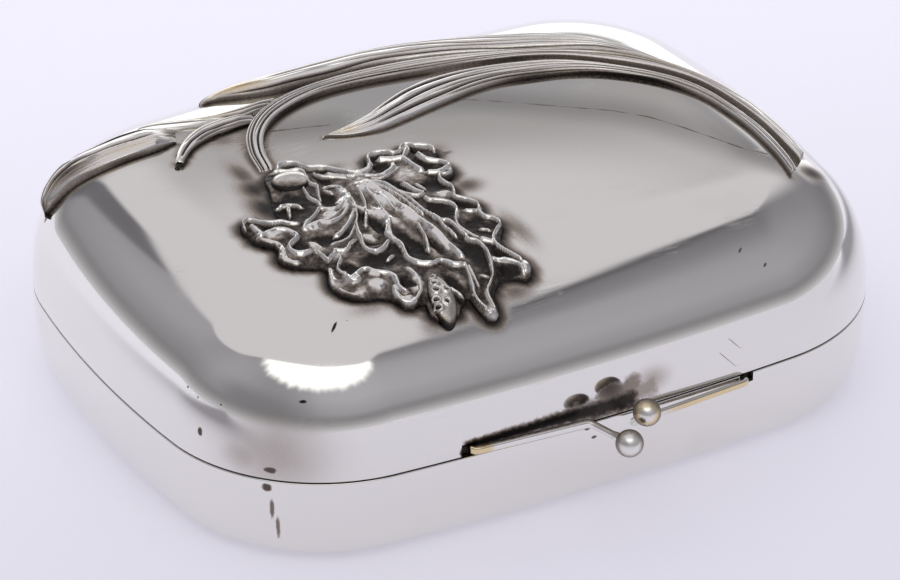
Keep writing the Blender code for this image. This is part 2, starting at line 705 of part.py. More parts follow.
def box_place(shares):
    """Plan place from shares of the half length and half width."""
    return Vector((shares[0] * HALF_LENGTH, shares[1] * HALF_WIDTH))


def smooth_run(points, count):
    """Even number of places on a smooth curve through the points."""
    padded = [2 * points[0] - points[1]] + points + [2 * points[-1] - points[-2]]
    run = []
    for step in range(count + 1):
        position = step / count * (len(points) - 1)
        index = min(int(position), len(points) - 2)
        share = position - index
        before, start, end, after = padded[index:index + 4]
        run.append(0.5 * (2 * start + share * (end - before)
                          + share ** 2 * (2 * before - 5 * start + 4 * end - after)
                          + share ** 3 * (3 * start - before - 3 * end + after)))
    return run


def relief_row(places, heights):
    """Closed row of a relief piece: over its top one way, and back along its seat."""
    top = [on_lid(place, CLEARANCE + RELIEF_EDGE + height) for place, height in zip(places, heights)]
    seat = [on_lid(place, CLEARANCE) for place in places]
    return top + seat[::-1]


def strand(name, section_shares, height, rows, columns, grooves, look, pivot):
    """Long relief piece between two smooth edges, with grooves along a rounded back."""
    first = smooth_run([box_place(section[0]) for section in section_shares], rows)
    second = smooth_run([box_place(section[1]) for section in section_shares], rows)
    rings = []
    for index, (edge, other) in enumerate(zip(first, second)):
        trim = min(STRAND_GAP / 2 / (other - edge).length, 1 / 4)
        from_end = min(index, rows - index) / rows
        rise = min(1, STRAND_START_SHARE + from_end / STRAND_RISE_SHARE)
        ends = math.sin(math.pi / 2 * rise)
        places, heights = [], []
        for column in range(columns + 1):
            across = column / columns
            places.append(edge + (other - edge) * (trim + (1 - 2 * trim) * across))
            back = math.sqrt(max(0, 1 - (2 * across - 1) ** 2))
            ripple = 1 - RIPPLE_SHARE * math.cos(2 * math.pi * grooves * across)
            heights.append(height * ends * back * ripple)
        rings.append(relief_row(places, heights))
    add_object(name, skin_mesh(name, rings), look, pivot)


def mound_mesh(name, centre, rim, ring_shares, seat_shares, height_at):
    """Relief piece that rises from a rim round its centre; height_at takes a place and its share."""
    top, seat = [], []
    for share in ring_shares:
        places = [centre + share * (place - centre) for place in rim]
        top.append([on_lid(place, CLEARANCE + RELIEF_EDGE + height_at(place, share))
                    for place in places])
    for share in seat_shares:
        seat.append([on_lid(centre + share * (place - centre), CLEARANCE) for place in rim])
    return skin_mesh(name, seat[::-1] + top)


def oval_mound(name, shares, height, look, pivot):
    """Low oval piece from its centre and the halves of its long and its wide way."""
    centre, long_half, wide_half = [box_place(share) for share in shares]
    rim = [centre + math.cos(turn) * long_half + math.sin(turn) * wide_half
           for turn in round_turns()]
    mesh = mound_mesh(name, centre, rim, MOUND_RING_SHARES, MOUND_RING_SHARES,
                      lambda place, share: height * math.sqrt(1 - MOUND_ROUND_SHARE * share ** 2))
    add_object(name, mesh, look, pivot)


def line_distance(place, start, end):
    """Distance of a plan place from the straight line between two others."""
    way = end - start
    along = min(1, max(0, (place - start).dot(way) / way.length_squared))
    return (place - start - along * way).length


def ruffled_leaf(look, pivot):
    """Broad leaf whose lobed rim curls up between hollows, with ribs that fan out from its stalk."""
    centre = box_place(LEAF_CENTRE_SHARES)
    corners = []
    for angle, reach_share in LEAF_RIM_SHARES:
        way = box_place((LEAF_SPAN_SHARES[0] * math.cos(math.radians(angle)),
                         LEAF_SPAN_SHARES[1] * math.sin(math.radians(angle))))
        corners.append(centre + reach_share * way)
    rim = smooth_run(corners + corners[:1], 2 * len(corners))[:-1]
    ridges = [[box_place(share) for share in ridge] for ridge in LEAF_RIDGE_SHARES]

    def height_at(place, _):
        hollow = 1
        for ridge in ridges:
            away = min(line_distance(place, start, end) for start, end in zip(ridge, ridge[1:]))
            hollow *= 1 - math.exp(-(away / LEAF_RIDGE_HALF_WIDTH) ** 2)
        return LEAF_HEIGHT * (1 - (1 - LEAF_FLOOR_SHARE) * hollow)

    mesh = mound_mesh("leaf_head", centre, rim, LEAF_RING_SHARES, LEAF_SEAT_SHARES, height_at)
    add_object("leaf_head", mesh, look, pivot)


def joint_pivot(name, place):
    empty = bpy.data.objects.new(name, None)
    empty.location = place
    bpy.context.scene.collection.objects.link(empty)
    return empty


def clear_scene():
    for item in list(bpy.data.objects):
        bpy.data.objects.remove(item, do_unlink=True)


def build_clasp(silver, gilt):
    """Both arms with their balls, each on an upright pivot in its notch."""
    lid_level = SEAM_HEIGHT + LID_ARM_RISE
    base_level = SEAM_HEIGHT - BASE_ARM_DROP
    arms = [
        ("lid", LID_ARM_ROOT_X, lid_level,
         Vector((LID_ARM_BEND_X, -HALF_WIDTH - LID_ARM_BEND_OUT - WIRE_WIDTH / 2, lid_level)),
         Vector((LID_BALL_X, -HALF_WIDTH - LID_BALL_OUT, SEAM_HEIGHT + LID_BALL_RISE))),
        ("base", BASE_ARM_ROOT_X, base_level,
         Vector((BASE_ARM_BEND_X, -HALF_WIDTH - BASE_ARM_BEND_OUT, base_level)),
         Vector((BASE_BALL_X, -HALF_WIDTH - BASE_BALL_OUT, SEAM_HEIGHT + BASE_BALL_RISE))),
    ]
    for owner, root_x, level, bend, ball in arms:
        place = Vector((root_x, -back_wall(root_x) + WALL / 2, level))
        pivot = joint_pivot(f"{owner}_arm_pivot", place)
        clasp_arm(f"{owner}_clasp_arm", root_x, level, bend, ball, silver, pivot)
        clasp_ball(f"{owner}_clasp_ball", ball, bend, gilt, pivot)


def build_relief(silver, pivot):
    """Plant in relief: a bundle of stems sweeps round the lid to a bud and a ruffled leaf."""
    strands = [
        ("main_stem", STEM_SECTION_SHARES, STEM_HEIGHT, 44, 6, 3),
        ("upper_leaf", UPPER_LEAF_SECTION_SHARES, UPPER_LEAF_HEIGHT, 34, 7, 2),
        ("middle_leaf", MIDDLE_LEAF_SECTION_SHARES, MIDDLE_LEAF_HEIGHT, 34, 6, 3),
        ("left_stem", LEFT_STEM_SECTION_SHARES, TENDRIL_HEIGHT, 6, 4, 1),
        ("tendril", TENDRIL_SECTION_SHARES, TENDRIL_HEIGHT, 12, 4, 1),
        ("bud", BUD_SECTION_SHARES, BUD_HEIGHT, 12, 8, 2),
    ]
    for name, section_shares, height, rows, columns, grooves in strands:
        strand(name, section_shares, height, rows, columns, grooves, silver, pivot)
    ruffled_leaf(silver, pivot)
    oval_mound("flower_cup", CUP_SHARES, CUP_HEIGHT, silver, pivot)
    oval_mound("seed_pod", POD_SHARES, POD_HEIGHT, silver, pivot)


def main():
    clear_scene()
    silver = material("silver_plate", (0.80, 0.79, 0.78), 0.12, 1.0)
    gilt = material("worn_plate", (0.78, 0.70, 0.56), 0.18, 1.0)
    steel = material("pin_steel", (0.55, 0.55, 0.56), 0.30, 1.0)
    fabric = material("velvet_lining", (0.03, 0.04, 0.10), 0.95, 0.0)
    base_shell(silver)
    base_bezel(silver)
    base_lining_band(fabric)
    base_floor_pad(fabric)
    hinge = joint_pivot("lid_hinge_axis", Vector((0, HINGE_Y, SEAM_HEIGHT)))
    lid_shell(silver, hinge)
    lid_lining_band(fabric, hinge)
    lid_pad(fabric, hinge)
    hinge_leaf("base_hinge_leaf", -1, silver, None)
    hinge_leaf("lid_hinge_leaf", 1, silver, hinge)
    hinge_pin(steel)
    build_clasp(silver, gilt)
    build_relief(silver, hinge)


main()
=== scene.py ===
"""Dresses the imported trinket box: silver plate skins, the plant in relief, clasp, hinge and velvet.

Lengths are in metres in the part's own frame: the underside's centre is the origin, the clasp looks
along -Y and +Z is up. Traces of the relief are in millimetres over the lid as if it were rolled out
flat, so that each ridge follows the pillow shape wherever it is laid.
"""

import math

import bmesh
import bpy
import numpy as np
from bpy.props import FloatProperty, FloatVectorProperty, PointerProperty
from bpy.types import Operator, Panel, PropertyGroup
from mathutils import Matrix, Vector


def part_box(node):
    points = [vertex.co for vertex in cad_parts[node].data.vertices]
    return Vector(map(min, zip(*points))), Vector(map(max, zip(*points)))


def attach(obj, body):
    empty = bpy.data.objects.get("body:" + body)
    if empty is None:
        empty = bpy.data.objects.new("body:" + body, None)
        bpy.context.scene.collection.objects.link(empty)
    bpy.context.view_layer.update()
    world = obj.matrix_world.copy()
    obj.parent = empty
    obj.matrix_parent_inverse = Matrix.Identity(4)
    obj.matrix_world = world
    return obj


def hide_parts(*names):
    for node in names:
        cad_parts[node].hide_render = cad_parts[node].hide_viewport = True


bl_info = {
    "name": "Trinket Box",
    "version": (1, 0, 0),
    "blender": (4, 5, 0),
    "location": "3D View > Sidebar > Trinket Box",
    "description": "Builds the looks of a silver plated trinket box round its packed parts",
    "category": "Object",
}

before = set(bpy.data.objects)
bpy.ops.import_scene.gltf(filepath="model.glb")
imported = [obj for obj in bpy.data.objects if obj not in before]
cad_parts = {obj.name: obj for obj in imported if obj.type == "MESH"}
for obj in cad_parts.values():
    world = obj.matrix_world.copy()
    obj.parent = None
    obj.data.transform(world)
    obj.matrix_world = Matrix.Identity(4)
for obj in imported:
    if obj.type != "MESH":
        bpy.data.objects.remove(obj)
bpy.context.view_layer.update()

MM = 0.001
GOLDEN_TURN = 2.39996
FRONT_ONLY = -0.045  # only the front wall lies beyond this


def length(name, description, default):
    return FloatProperty(name=name, description=description, default=default, unit='LENGTH', precision=5)


def share(name, description, default):
    return FloatProperty(name=name, description=description, default=default, subtype='FACTOR',
                         min=0.0, max=1.0)


def colour(name, description, default):
    return FloatVectorProperty(name=name, description=description, default=default, subtype='COLOR',
                               size=3, min=0.0, max=2.0)


# Settings

class TrinketBodySizes(PropertyGroup):
    length: length("Length", "Along the front at the seam", 0.1500)
    width: length("Width", "From front to back at the seam", 0.1176)
    long_side_radius: length("Long Side Radius", "Bow of the front and back", 0.585)
    short_side_radius: length("Short Side Radius", "Bow of the two short sides", 0.225)
    corner_radius: length("Corner Radius", "Rounding of the four corners", 0.0335)
    seam_height: length("Seam Height", "Height at which the lid meets the base", 0.019)
    seam_gap: length("Seam Gap", "Space between lid and base", 0.0003)
    lip_radius: length("Lip Radius", "Softness of both edges along the seam", 0.00022)
    base_tuck: length("Base Tuck", "How far the base draws in towards its foot", 0.0115)
    base_squareness: FloatProperty(name="Base Squareness", description="Fullness of the base", default=3.5)
    lid_height: length("Lid Height", "From the seam to the edge of the lid's top", 0.026)
    lid_shoulder: length("Lid Shoulder", "How far the shoulder reaches in from the seam", 0.027)
    lid_squareness: FloatProperty(name="Lid Squareness", description="Fullness of the shoulder", default=2.5)
    dome_height: length("Dome Height", "Rise of the lid's top at its middle", 0.0015)
    dome_spread: share("Dome Spread", "Part of the lid that the dome covers", 0.8)
    wall: length("Wall", "Thickness of the sheet metal", 0.001)
    clearance: length("Clearance", "Play between neighbouring parts", 0.0003)


class TrinketClaspSizes(PropertyGroup):
    wire_width: length("Wire Width", "Thickness of both sprung arms", 0.0014)
    bend_radius: length("Bend Radius", "Rounding where a wire turns", 0.0011)
    ball_radius: length("Ball Radius", "Radius of both snap balls", 0.0026)
    notch_slack: length("Notch Slack", "Free room beside a wire in its notch", 0.0013)
    lid_root_x: length("Lid Arm Root", "Place along the front where the lid's arm leaves it", -0.0274)
    base_root_x: length("Base Arm Root", "Place along the front where the base's arm leaves it", 0.0310)
    lid_arm_rise: length("Lid Arm Rise", "Height of the lid's arm over the seam", 0.0017)
    base_arm_drop: length("Base Arm Drop", "Depth of the base's arm under the seam", 0.0010)
    wall_gap: length("Wall Gap", "Space between a wire and the wall behind it", 0.0005)
    lid_bend: FloatVectorProperty(name="Lid Arm Bend", subtype='TRANSLATION', precision=5,
                                  description="Where the lid's arm turns out from the wall",
                                  default=(-0.0042, -0.0612, 0.0207))
    lid_ball: FloatVectorProperty(name="Lid Ball", subtype='TRANSLATION', precision=5,
                                  description="Middle of the lid's ball",
                                  default=(-0.0004, -0.0690, 0.0194))
    base_bend: FloatVectorProperty(name="Base Arm Bend", subtype='TRANSLATION', precision=5,
                                   description="Where the base's arm turns out from the wall",
                                   default=(0.0047, -0.0612, 0.0180))
    base_ball: FloatVectorProperty(name="Base Ball", subtype='TRANSLATION', precision=5,
                                   description="Middle of the base's ball",
                                   default=(0.0050, -0.0660, 0.0228))


class TrinketHingeSizes(PropertyGroup):
    length: length("Length", "Along the back wall", 0.034)
    leaf_height: length("Leaf Height", "From the seam to the far edge of a leaf", 0.0062)
    leaf_thickness: length("Leaf Thickness", "Thickness of both leaves", 0.0007)
    knuckle_radius: length("Knuckle Radius", "Radius of the five knuckles", 0.0016)
    pin_radius: length("Pin Radius", "Radius of the pin", 0.0007)
    head_radius: length("Head Radius", "Radius of the pin's two heads", 0.0011)


class TrinketLiningSizes(PropertyGroup):
    lip_inset: length("Lip Inset", "From the wall's outside to the inner lip", 0.0013)
    lip_thickness: length("Lip Thickness", "Thickness of the inner lip", 0.0008)
    lip_low: length("Lip Foot", "Height of the inner lip's lower edge", 0.0120)
    lip_high: length("Lip Top", "Height of the inner lip's upper edge", 0.0218)
    band_inset: length("Band Inset", "From the wall's outside to the base's velvet band", 0.0024)
    band_thickness: length("Band Thickness", "Thickness of both velvet bands", 0.0008)
    band_low: length("Band Foot", "Height of the base band's lower edge", 0.0060)
    band_high: length("Band Top", "Height of the base band's upper edge", 0.0178)
    lid_band_depth: length("Lid Band Depth", "From the lid's skin to its velvet band", 0.0013)
    lid_band_start: share("Lid Band Start", "Part of the shoulder below the velvet band", 0.062)
    lid_band_end: share("Lid Band End", "Part of the shoulder up to the band's upper edge", 0.80)
    pad_thickness: length("Pad Thickness", "Thickness of both pads at their edges", 0.0034)
    pad_crown: length("Pad Crown", "Swell in the middle of a pad", 0.0014)
    pad_draw_in: length("Pad Draw In", "How far a pad's back stays inside its widest line", 0.0035)
    base_pad_inset: length("Base Pad Inset", "From the wall's outside to the base pad", 0.0048)
    base_pad_height: length("Base Pad Height", "Height of the base pad's back", 0.0013)
    lid_pad_inset: length("Lid Pad Inset", "From the wall's outside to the lid pad", 0.0178)
    lid_pad_height: length("Lid Pad Height", "Height of the lid pad's back", 0.0437)


class TrinketReliefSizes(PropertyGroup):
    grain: length("Grain", "Distance between points of the carved leaf", 0.00020)
    sink: length("Sink", "How deep the edges of the relief end in the lid's wall", 0.0004)
    stem_height: length("Stem Height", "Height of the main stem", 0.0010)
    upper_leaf_height: length("Upper Leaf Height", "Height of the long upper leaf", 0.0020)
    middle_leaf_height: length("Middle Leaf Height", "Height of the curling middle leaf", 0.0009)
    tendril_height: length("Tendril Height", "Height of the thin stems on the left", 0.0007)
    bud_height: length("Bud Height", "Height of the bud at the left corner", 0.0016)
    leaf_height: length("Leaf Height", "Height of the ruffled leaf's highest ridges", 0.0022)


class TrinketFinish(PropertyGroup):
    silver: colour("Silver", "Worn silver plate", (0.85, 0.84, 0.79))
    # Tarnish brown, also the colour of the lighter painted shade on the metal
    tarnish_and_shade: colour("Tarnish", "Brown of the dulled places", (0.36, 0.31, 0.26))
    # Patina black, also the colour of the darkest painted shade on the metal
    patina_and_shade: colour("Patina", "Blackened hollows of the relief", (0.030, 0.026, 0.024))
    gilt: colour("Gilt", "Warm metal where the plate has worn off", (0.80, 0.66, 0.40))
    steel: colour("Steel", "Hinge pin", (0.55, 0.55, 0.56))
    velvet: colour("Velvet", "Lining", (0.020, 0.028, 0.090))
    gloss: share("Roughness", "Roughness of the polished silver", 0.07)


class TrinketStage(PropertyGroup):
    camera_azimuth: FloatProperty(name="Camera Azimuth", default=math.radians(-28.94), subtype='ANGLE',
                                  description="Turn of the camera round the box from its front")
    camera_elevation: FloatProperty(name="Camera Elevation", default=math.radians(30.607),
                                    subtype='ANGLE', description="Angle above the floor")
    camera_distance: length("Camera Distance", "From the camera to the point it looks at", 1.05102)
    camera_lens: FloatProperty(name="Lens", default=218.6, description="Focal length in millimetres")
    camera_target: FloatVectorProperty(name="Target", subtype='TRANSLATION', precision=5,
                                       description="Point that the camera looks at",
                                       default=(-0.000383, -0.001137, 0.01682))
    floor_near: colour("Floor Near", "Floor towards the camera", (0.80, 0.785, 0.87))
    floor_far: colour("Floor Far", "Floor behind the box", (0.95, 0.945, 1.04))
    card: colour("Ceiling Card", "Pale card over the box", (0.68, 0.655, 0.70))
    band: colour("Room", "Dim room between card and floor", (0.36, 0.35, 0.39))


class TrinketBoxSettings(PropertyGroup):
    body: PointerProperty(type=TrinketBodySizes)
    clasp: PointerProperty(type=TrinketClaspSizes)
    hinge: PointerProperty(type=TrinketHingeSizes)
    lining: PointerProperty(type=TrinketLiningSizes)
    relief: PointerProperty(type=TrinketReliefSizes)
    finish: PointerProperty(type=TrinketFinish)
    stage: PointerProperty(type=TrinketStage)


def settings():
    return bpy.context.scene.trinket_box


# Shape of the box

class BodyForm:
    """Plan of compass arcs and upright profiles, worked out from the sizes."""

    def __init__(self, sizes, side_steps=(30, 44, 34)):
        self.sizes = sizes
        half_length, half_width = sizes.length / 2, sizes.width / 2
        self.half = np.array((half_length, half_width))
        self.top = sizes.seam_height + sizes.lid_height
        long_centre = np.array((0.0, half_width - sizes.long_side_radius))
        short_centre = np.array((half_length - sizes.short_side_radius, 0.0))
        long_reach = sizes.long_side_radius - sizes.corner_radius
        short_reach = sizes.short_side_radius - sizes.corner_radius
        between = short_centre - long_centre
        span = np.hypot(*between)
        along = (long_reach ** 2 - short_reach ** 2 + span ** 2) / (2 * span)
        aside = math.sqrt(long_reach ** 2 - along ** 2)
        ahead = between / span
        corner = long_centre + along * ahead + aside * np.array((ahead[1], -ahead[0]))
        short_end = math.atan2(*(corner - short_centre)[::-1])
        long_end = math.atan2(*(corner - long_centre)[::-1])
        self.arcs = [
            (short_centre, sizes.short_side_radius, 0.0, short_end),
            (corner, sizes.corner_radius, short_end, long_end),
            (long_centre, sizes.long_side_radius, long_end, math.pi / 2),
        ]
        self.centres, self.radii, self.ways = self.stations(side_steps)
        turn = np.linspace(0, math.pi / 2, 1500)
        reach, up, _ = self.lid_profile(turn)
        steps = np.hypot(np.diff(reach), np.diff(up))
        self.table_turn = turn
        self.table_run = np.concatenate(([0.0], np.cumsum(steps)))

    def stations(self, side_steps):
        """Arc centre, radius and outward way of each outline point, anticlockwise from +X."""
        quarter = []
        for (centre, radius, start, end), steps in zip(self.arcs, side_steps):
            for step in range(steps):
                angle = start + (end - start) * step / steps
                quarter.append((*centre, radius, math.cos(angle), math.sin(angle)))
        quarter.append((*self.arcs[2][0], self.arcs[2][1], 0.0, 1.0))
        whole = []
        for flip_x, flip_y in ((1, 1), (-1, 1), (-1, -1), (1, -1)):
            part = [(x * flip_x, y * flip_y, radius, way_x * flip_x, way_y * flip_y)
                    for x, y, radius, way_x, way_y in quarter]
            if flip_x * flip_y < 0:
                part.reverse()
            whole.extend(part[:-1])
        table = np.array(whole)
        return table[:, :2], table[:, 2:3], table[:, 3:]

    def lid_profile(self, turn):
        return squared_profile(turn, self.sizes.lid_shoulder, self.sizes.lid_height,
                               self.sizes.lid_squareness)

    def base_profile(self, turn):
        return squared_profile(turn, self.sizes.base_tuck, self.sizes.seam_height,
                               self.sizes.base_squareness)

    def dome(self, places):
        """Extra height of the lid's gently domed top."""
        spread = ((places / (self.sizes.dome_spread * self.half)) ** 2).sum(1)
        return self.sizes.dome_height * np.clip(1 - spread, 0, None) ** 2

    def ring(self, inset, height, domed=False):
        """Outline drawn in by an inset at a height; the lid's rings follow its dome."""
        places = self.centres + (self.radii - inset) * self.ways
        lift = self.dome(places) if domed else 0.0
        return np.column_stack((places, np.full(len(places), height) + lift))

    def lid_ring(self, turn, depth=0.0):
        reach, up, normal = self.lid_profile(np.array((turn,)))
        out = reach[0] - depth * normal[0, 0]
        rise = max(up[0] - depth * normal[0, 1], self.sizes.seam_gap / 2)
        return self.ring(self.sizes.lid_shoulder - out, self.sizes.seam_height + rise, domed=True)

    def base_ring(self, turn, depth=0.0):
        reach, down, normal = self.base_profile(np.array((turn,)))
        out = reach[0] - depth * normal[0, 0]
        drop = max(down[0] - depth * normal[0, 1], self.sizes.seam_gap / 2)
        return self.ring(self.sizes.base_tuck - out, self.sizes.seam_height - drop)

    def top_ring(self, scale, height, depth=0.0):
        """Ring on the lid's top: the shoulder's inner edge shrunk towards the middle."""
        places = (self.centres + (self.radii - self.sizes.lid_shoulder) * self.ways) * scale
        return np.column_stack((places, self.dome(places) + height - depth))

    def wall_y(self, x, inset=0.0):
        """Distance of the front and back walls from the middle, at the seam."""
        centre, radius = self.arcs[2][0], self.arcs[2][1] - inset
        return centre[1] + math.sqrt(radius ** 2 - x ** 2)

    def foot(self, places):
        """Inset of plan points from the seam outline, and the outward way there."""
        flip = np.where(places < 0, -1.0, 1.0)
        folded = np.abs(places)
        (short_centre, short_radius, _, short_end), (corner, corner_radius, _, _), \
            (long_centre, long_radius, long_end, _) = self.arcs
        long_turn = np.arctan2(folded[:, 1] - long_centre[1], folded[:, 0] - long_centre[0])
        short_turn = np.arctan2(folded[:, 1] - short_centre[1], folded[:, 0] - short_centre[0])
        on_long = (long_turn >= long_end)[:, None]
        on_short = (short_turn <= short_end)[:, None]
        centre = np.where(on_long, long_centre, np.where(on_short, short_centre, corner))
        radius = np.where(on_long, long_radius, np.where(on_short, short_radius, corner_radius))[:, 0]
        reach = folded - centre
        distance = np.hypot(reach[:, 0], reach[:, 1])
        return radius - distance, reach / distance[:, None] * flip

    def on_lid(self, places, heights):
        """Points over the lid from places on its rolled-out plan and heights above its skin."""
        inset, way = self.foot(places)
        run = np.clip(self.sizes.lid_shoulder - inset, 0, None)
        turn = np.interp(self.table_run[-1] - run, self.table_run, self.table_turn)
        reach, up, normal = self.lid_profile(turn)
        on_top = run <= 0
        reach[on_top], up[on_top] = 0.0, self.sizes.lid_height
        normal[on_top] = (0.0, 1.0)
        feet = places - way * (run - reach)[:, None]
        rise = self.sizes.seam_height + up + self.dome(feet) + heights * normal[:, 1]
        spots = feet + way * (heights * normal[:, 0])[:, None]
        return np.column_stack((spots, rise))


def squared_profile(turn, reach, height, squareness):
    """Points of a squared-off quarter ellipse at turns from its foot, with outward normals."""
    along = reach * np.cos(turn) ** (2 / squareness)
    up = height * np.sin(turn) ** (2 / squareness)
    normal = np.column_stack(((along / reach) ** (squareness - 1) / reach,
                              (up / height) ** (squareness - 1) / height))
    return along, up, normal / np.hypot(normal[:, 0], normal[:, 1])[:, None]


# Mesh helpers

def finish_piece(name, mesh, look, body, replaced=(), smooth_angle=40, normals=True):
    """Object of a piece from its bmesh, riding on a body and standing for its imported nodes."""
    if not mesh.faces:
        raise RuntimeError(f"{name} came out empty")
    if normals:
        bmesh.ops.recalc_face_normals(mesh, faces=mesh.faces)
    data = bpy.data.meshes.new(name)
    mesh.to_mesh(data)
    mesh.free()
    data.materials.append(look)
    data.shade_smooth()
    if smooth_angle:
        data.set_sharp_from_angle(angle=math.radians(smooth_angle))
    piece = bpy.data.objects.new(name, data)
    bpy.context.scene.collection.objects.link(piece)
    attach(piece, body)
    if replaced:
        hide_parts(*replaced)
    return piece


def grow_rings(rings, closed=False, capped=True):
    """Mesh from one circle, extruded ring after ring and laid on each ring's points."""
    mesh = bmesh.new()
    station = mesh.verts.layers.int.new("station")
    row = mesh.verts.layers.int.new("row")
    bmesh.ops.create_circle(mesh, segments=len(rings[0]), radius=1)
    mesh.verts.ensure_lookup_table()
    first = list(mesh.verts)
    for index, vert in enumerate(first):
        vert[station] = index
        vert.co = rings[0][index]
    edges = list(mesh.edges)
    last_edges = edges
    for number, points in enumerate(rings[1:], 1):
        grown = bmesh.ops.extrude_edge_only(mesh, edges=last_edges)["geom"]
        last_edges = [item for item in grown if isinstance(item, bmesh.types.BMEdge)]
        for item in grown:
            if isinstance(item, bmesh.types.BMVert):
                item.co = points[item[station]]
                item[row] = number
    if closed:
        bmesh.ops.bridge_loops(mesh, edges=edges + last_edges)
    elif capped:
        for loop in (edges, last_edges):
            cap = bmesh.ops.contextual_create(mesh, geom=loop)["faces"]
            bmesh.ops.poke(mesh, faces=cap)
    return mesh


def spline(points, shares):
    """Places on a smooth curve through points, at shares of its length from 0 to 1."""
    points = np.asarray(points, float)
    padded = np.vstack((2 * points[0] - points[1], points, 2 * points[-1] - points[-2]))
    position = np.clip(shares, 0, 1) * (len(points) - 1)
    index = np.minimum(position.astype(int), len(points) - 2)
    local = (position - index)[:, None]
    before, start, end, after = (padded[index + step] for step in range(4))
    return 0.5 * (2 * start + local * (end - before)
                  + local ** 2 * (2 * before - 5 * start + 4 * end - after)
                  + local ** 3 * (3 * start - before - 3 * end + after))


def smooth_step(low, high, value):
    ramp = np.clip((value - low) / (high - low), 0, 1)
    return ramp * ramp * (3 - 2 * ramp)


def blurred(grid, spreads):
    """Grid softened by a bell curve that spreads over so many cells along each way."""
    for axis, spread in enumerate(spreads):
        if spread <= 0:
            continue
        reach = int(3 * spread) + 1
        bell = np.exp(-0.5 * (np.arange(-reach, reach + 1) / spread) ** 2)
        room = [(reach, reach) if way == axis else (0, 0) for way in (0, 1)]
        padded = np.pad(grid, room, mode='edge')
        grid = np.apply_along_axis(np.convolve, axis, padded, bell / bell.sum(), 'valid')
    return grid


def grain(shape, spreads, seed):
    """Soft random relief from -1 to 1, about as large as its spreads in cells."""
    field = blurred(np.random.default_rng(seed).normal(size=shape), spreads)
    return np.clip(field / (2 * field.std()), -1, 1)


def unit_grid(rows, columns):
    """Flat bmesh grid, its places from 0 to 1, its vertex order by rows, and its shape."""
    mesh = bmesh.new()
    bmesh.ops.create_grid(mesh, x_segments=rows, y_segments=columns, size=0.5)
    places = np.array([vert.co[:2] for vert in mesh.verts]) + 0.5
    levels = np.round(places[:, 1], 6)
    order = np.lexsort((places[:, 0], levels))
    across = len(np.unique(levels))
    return mesh, places[order], order, (across, len(places) // across)


def line_distance(places, line):
    """Distance of places from a bent line, and the share of the line's run where it is nearest."""
    line = np.asarray(line, float)
    best = np.full(len(places), np.inf)
    best_run = np.zeros(len(places))
    run = 0.0
    for start, end in zip(line, line[1:]):
        way = end - start
        span = np.hypot(*way)
        along = np.clip(((places - start) @ way) / span ** 2, 0, 1)
        offset = places - start - along[:, None] * way
        distance = np.hypot(offset[:, 0], offset[:, 1])
        nearer = distance < best
        best = np.where(nearer, distance, best)
        best_run = np.where(nearer, run + along * span, best_run)
        run += span
    return best, best_run / run


def bell(places, centre, radii):
    """Level that falls from 1 in the middle of an ellipse."""
    return np.exp(-(((places - np.array(centre)) / np.array(radii)) ** 2).sum(1))


def turned(offset, turn, radii):
    """Offsets along and aside of an ellipse turned by so many degrees, in its radii."""
    cosine, sine = math.cos(math.radians(turn)), math.sin(math.radians(turn))
    return ((offset[:, 0] * cosine + offset[:, 1] * sine) / radii[0],
            (offset[:, 1] * cosine - offset[:, 0] * sine) / radii[1])


def inside_outline(places, outline):
    """Signed distance to a closed outline, positive inside."""
    outline = np.asarray(outline, float)
    distance, _ = line_distance(places, np.vstack((outline, outline[:1])))
    x, y = places[:, 0], places[:, 1]
    crossings = np.zeros(len(places), bool)
    for start, end in zip(outline, np.roll(outline, -1, axis=0)):
        spans = (start[1] > y) != (end[1] > y)
        slope = (end[0] - start[0]) / (end[1] - start[1] + 1e-12)
        crossings ^= spans & (x < start[0] + slope * (y - start[1]))
    return np.where(crossings, distance, -distance)


# Finishes

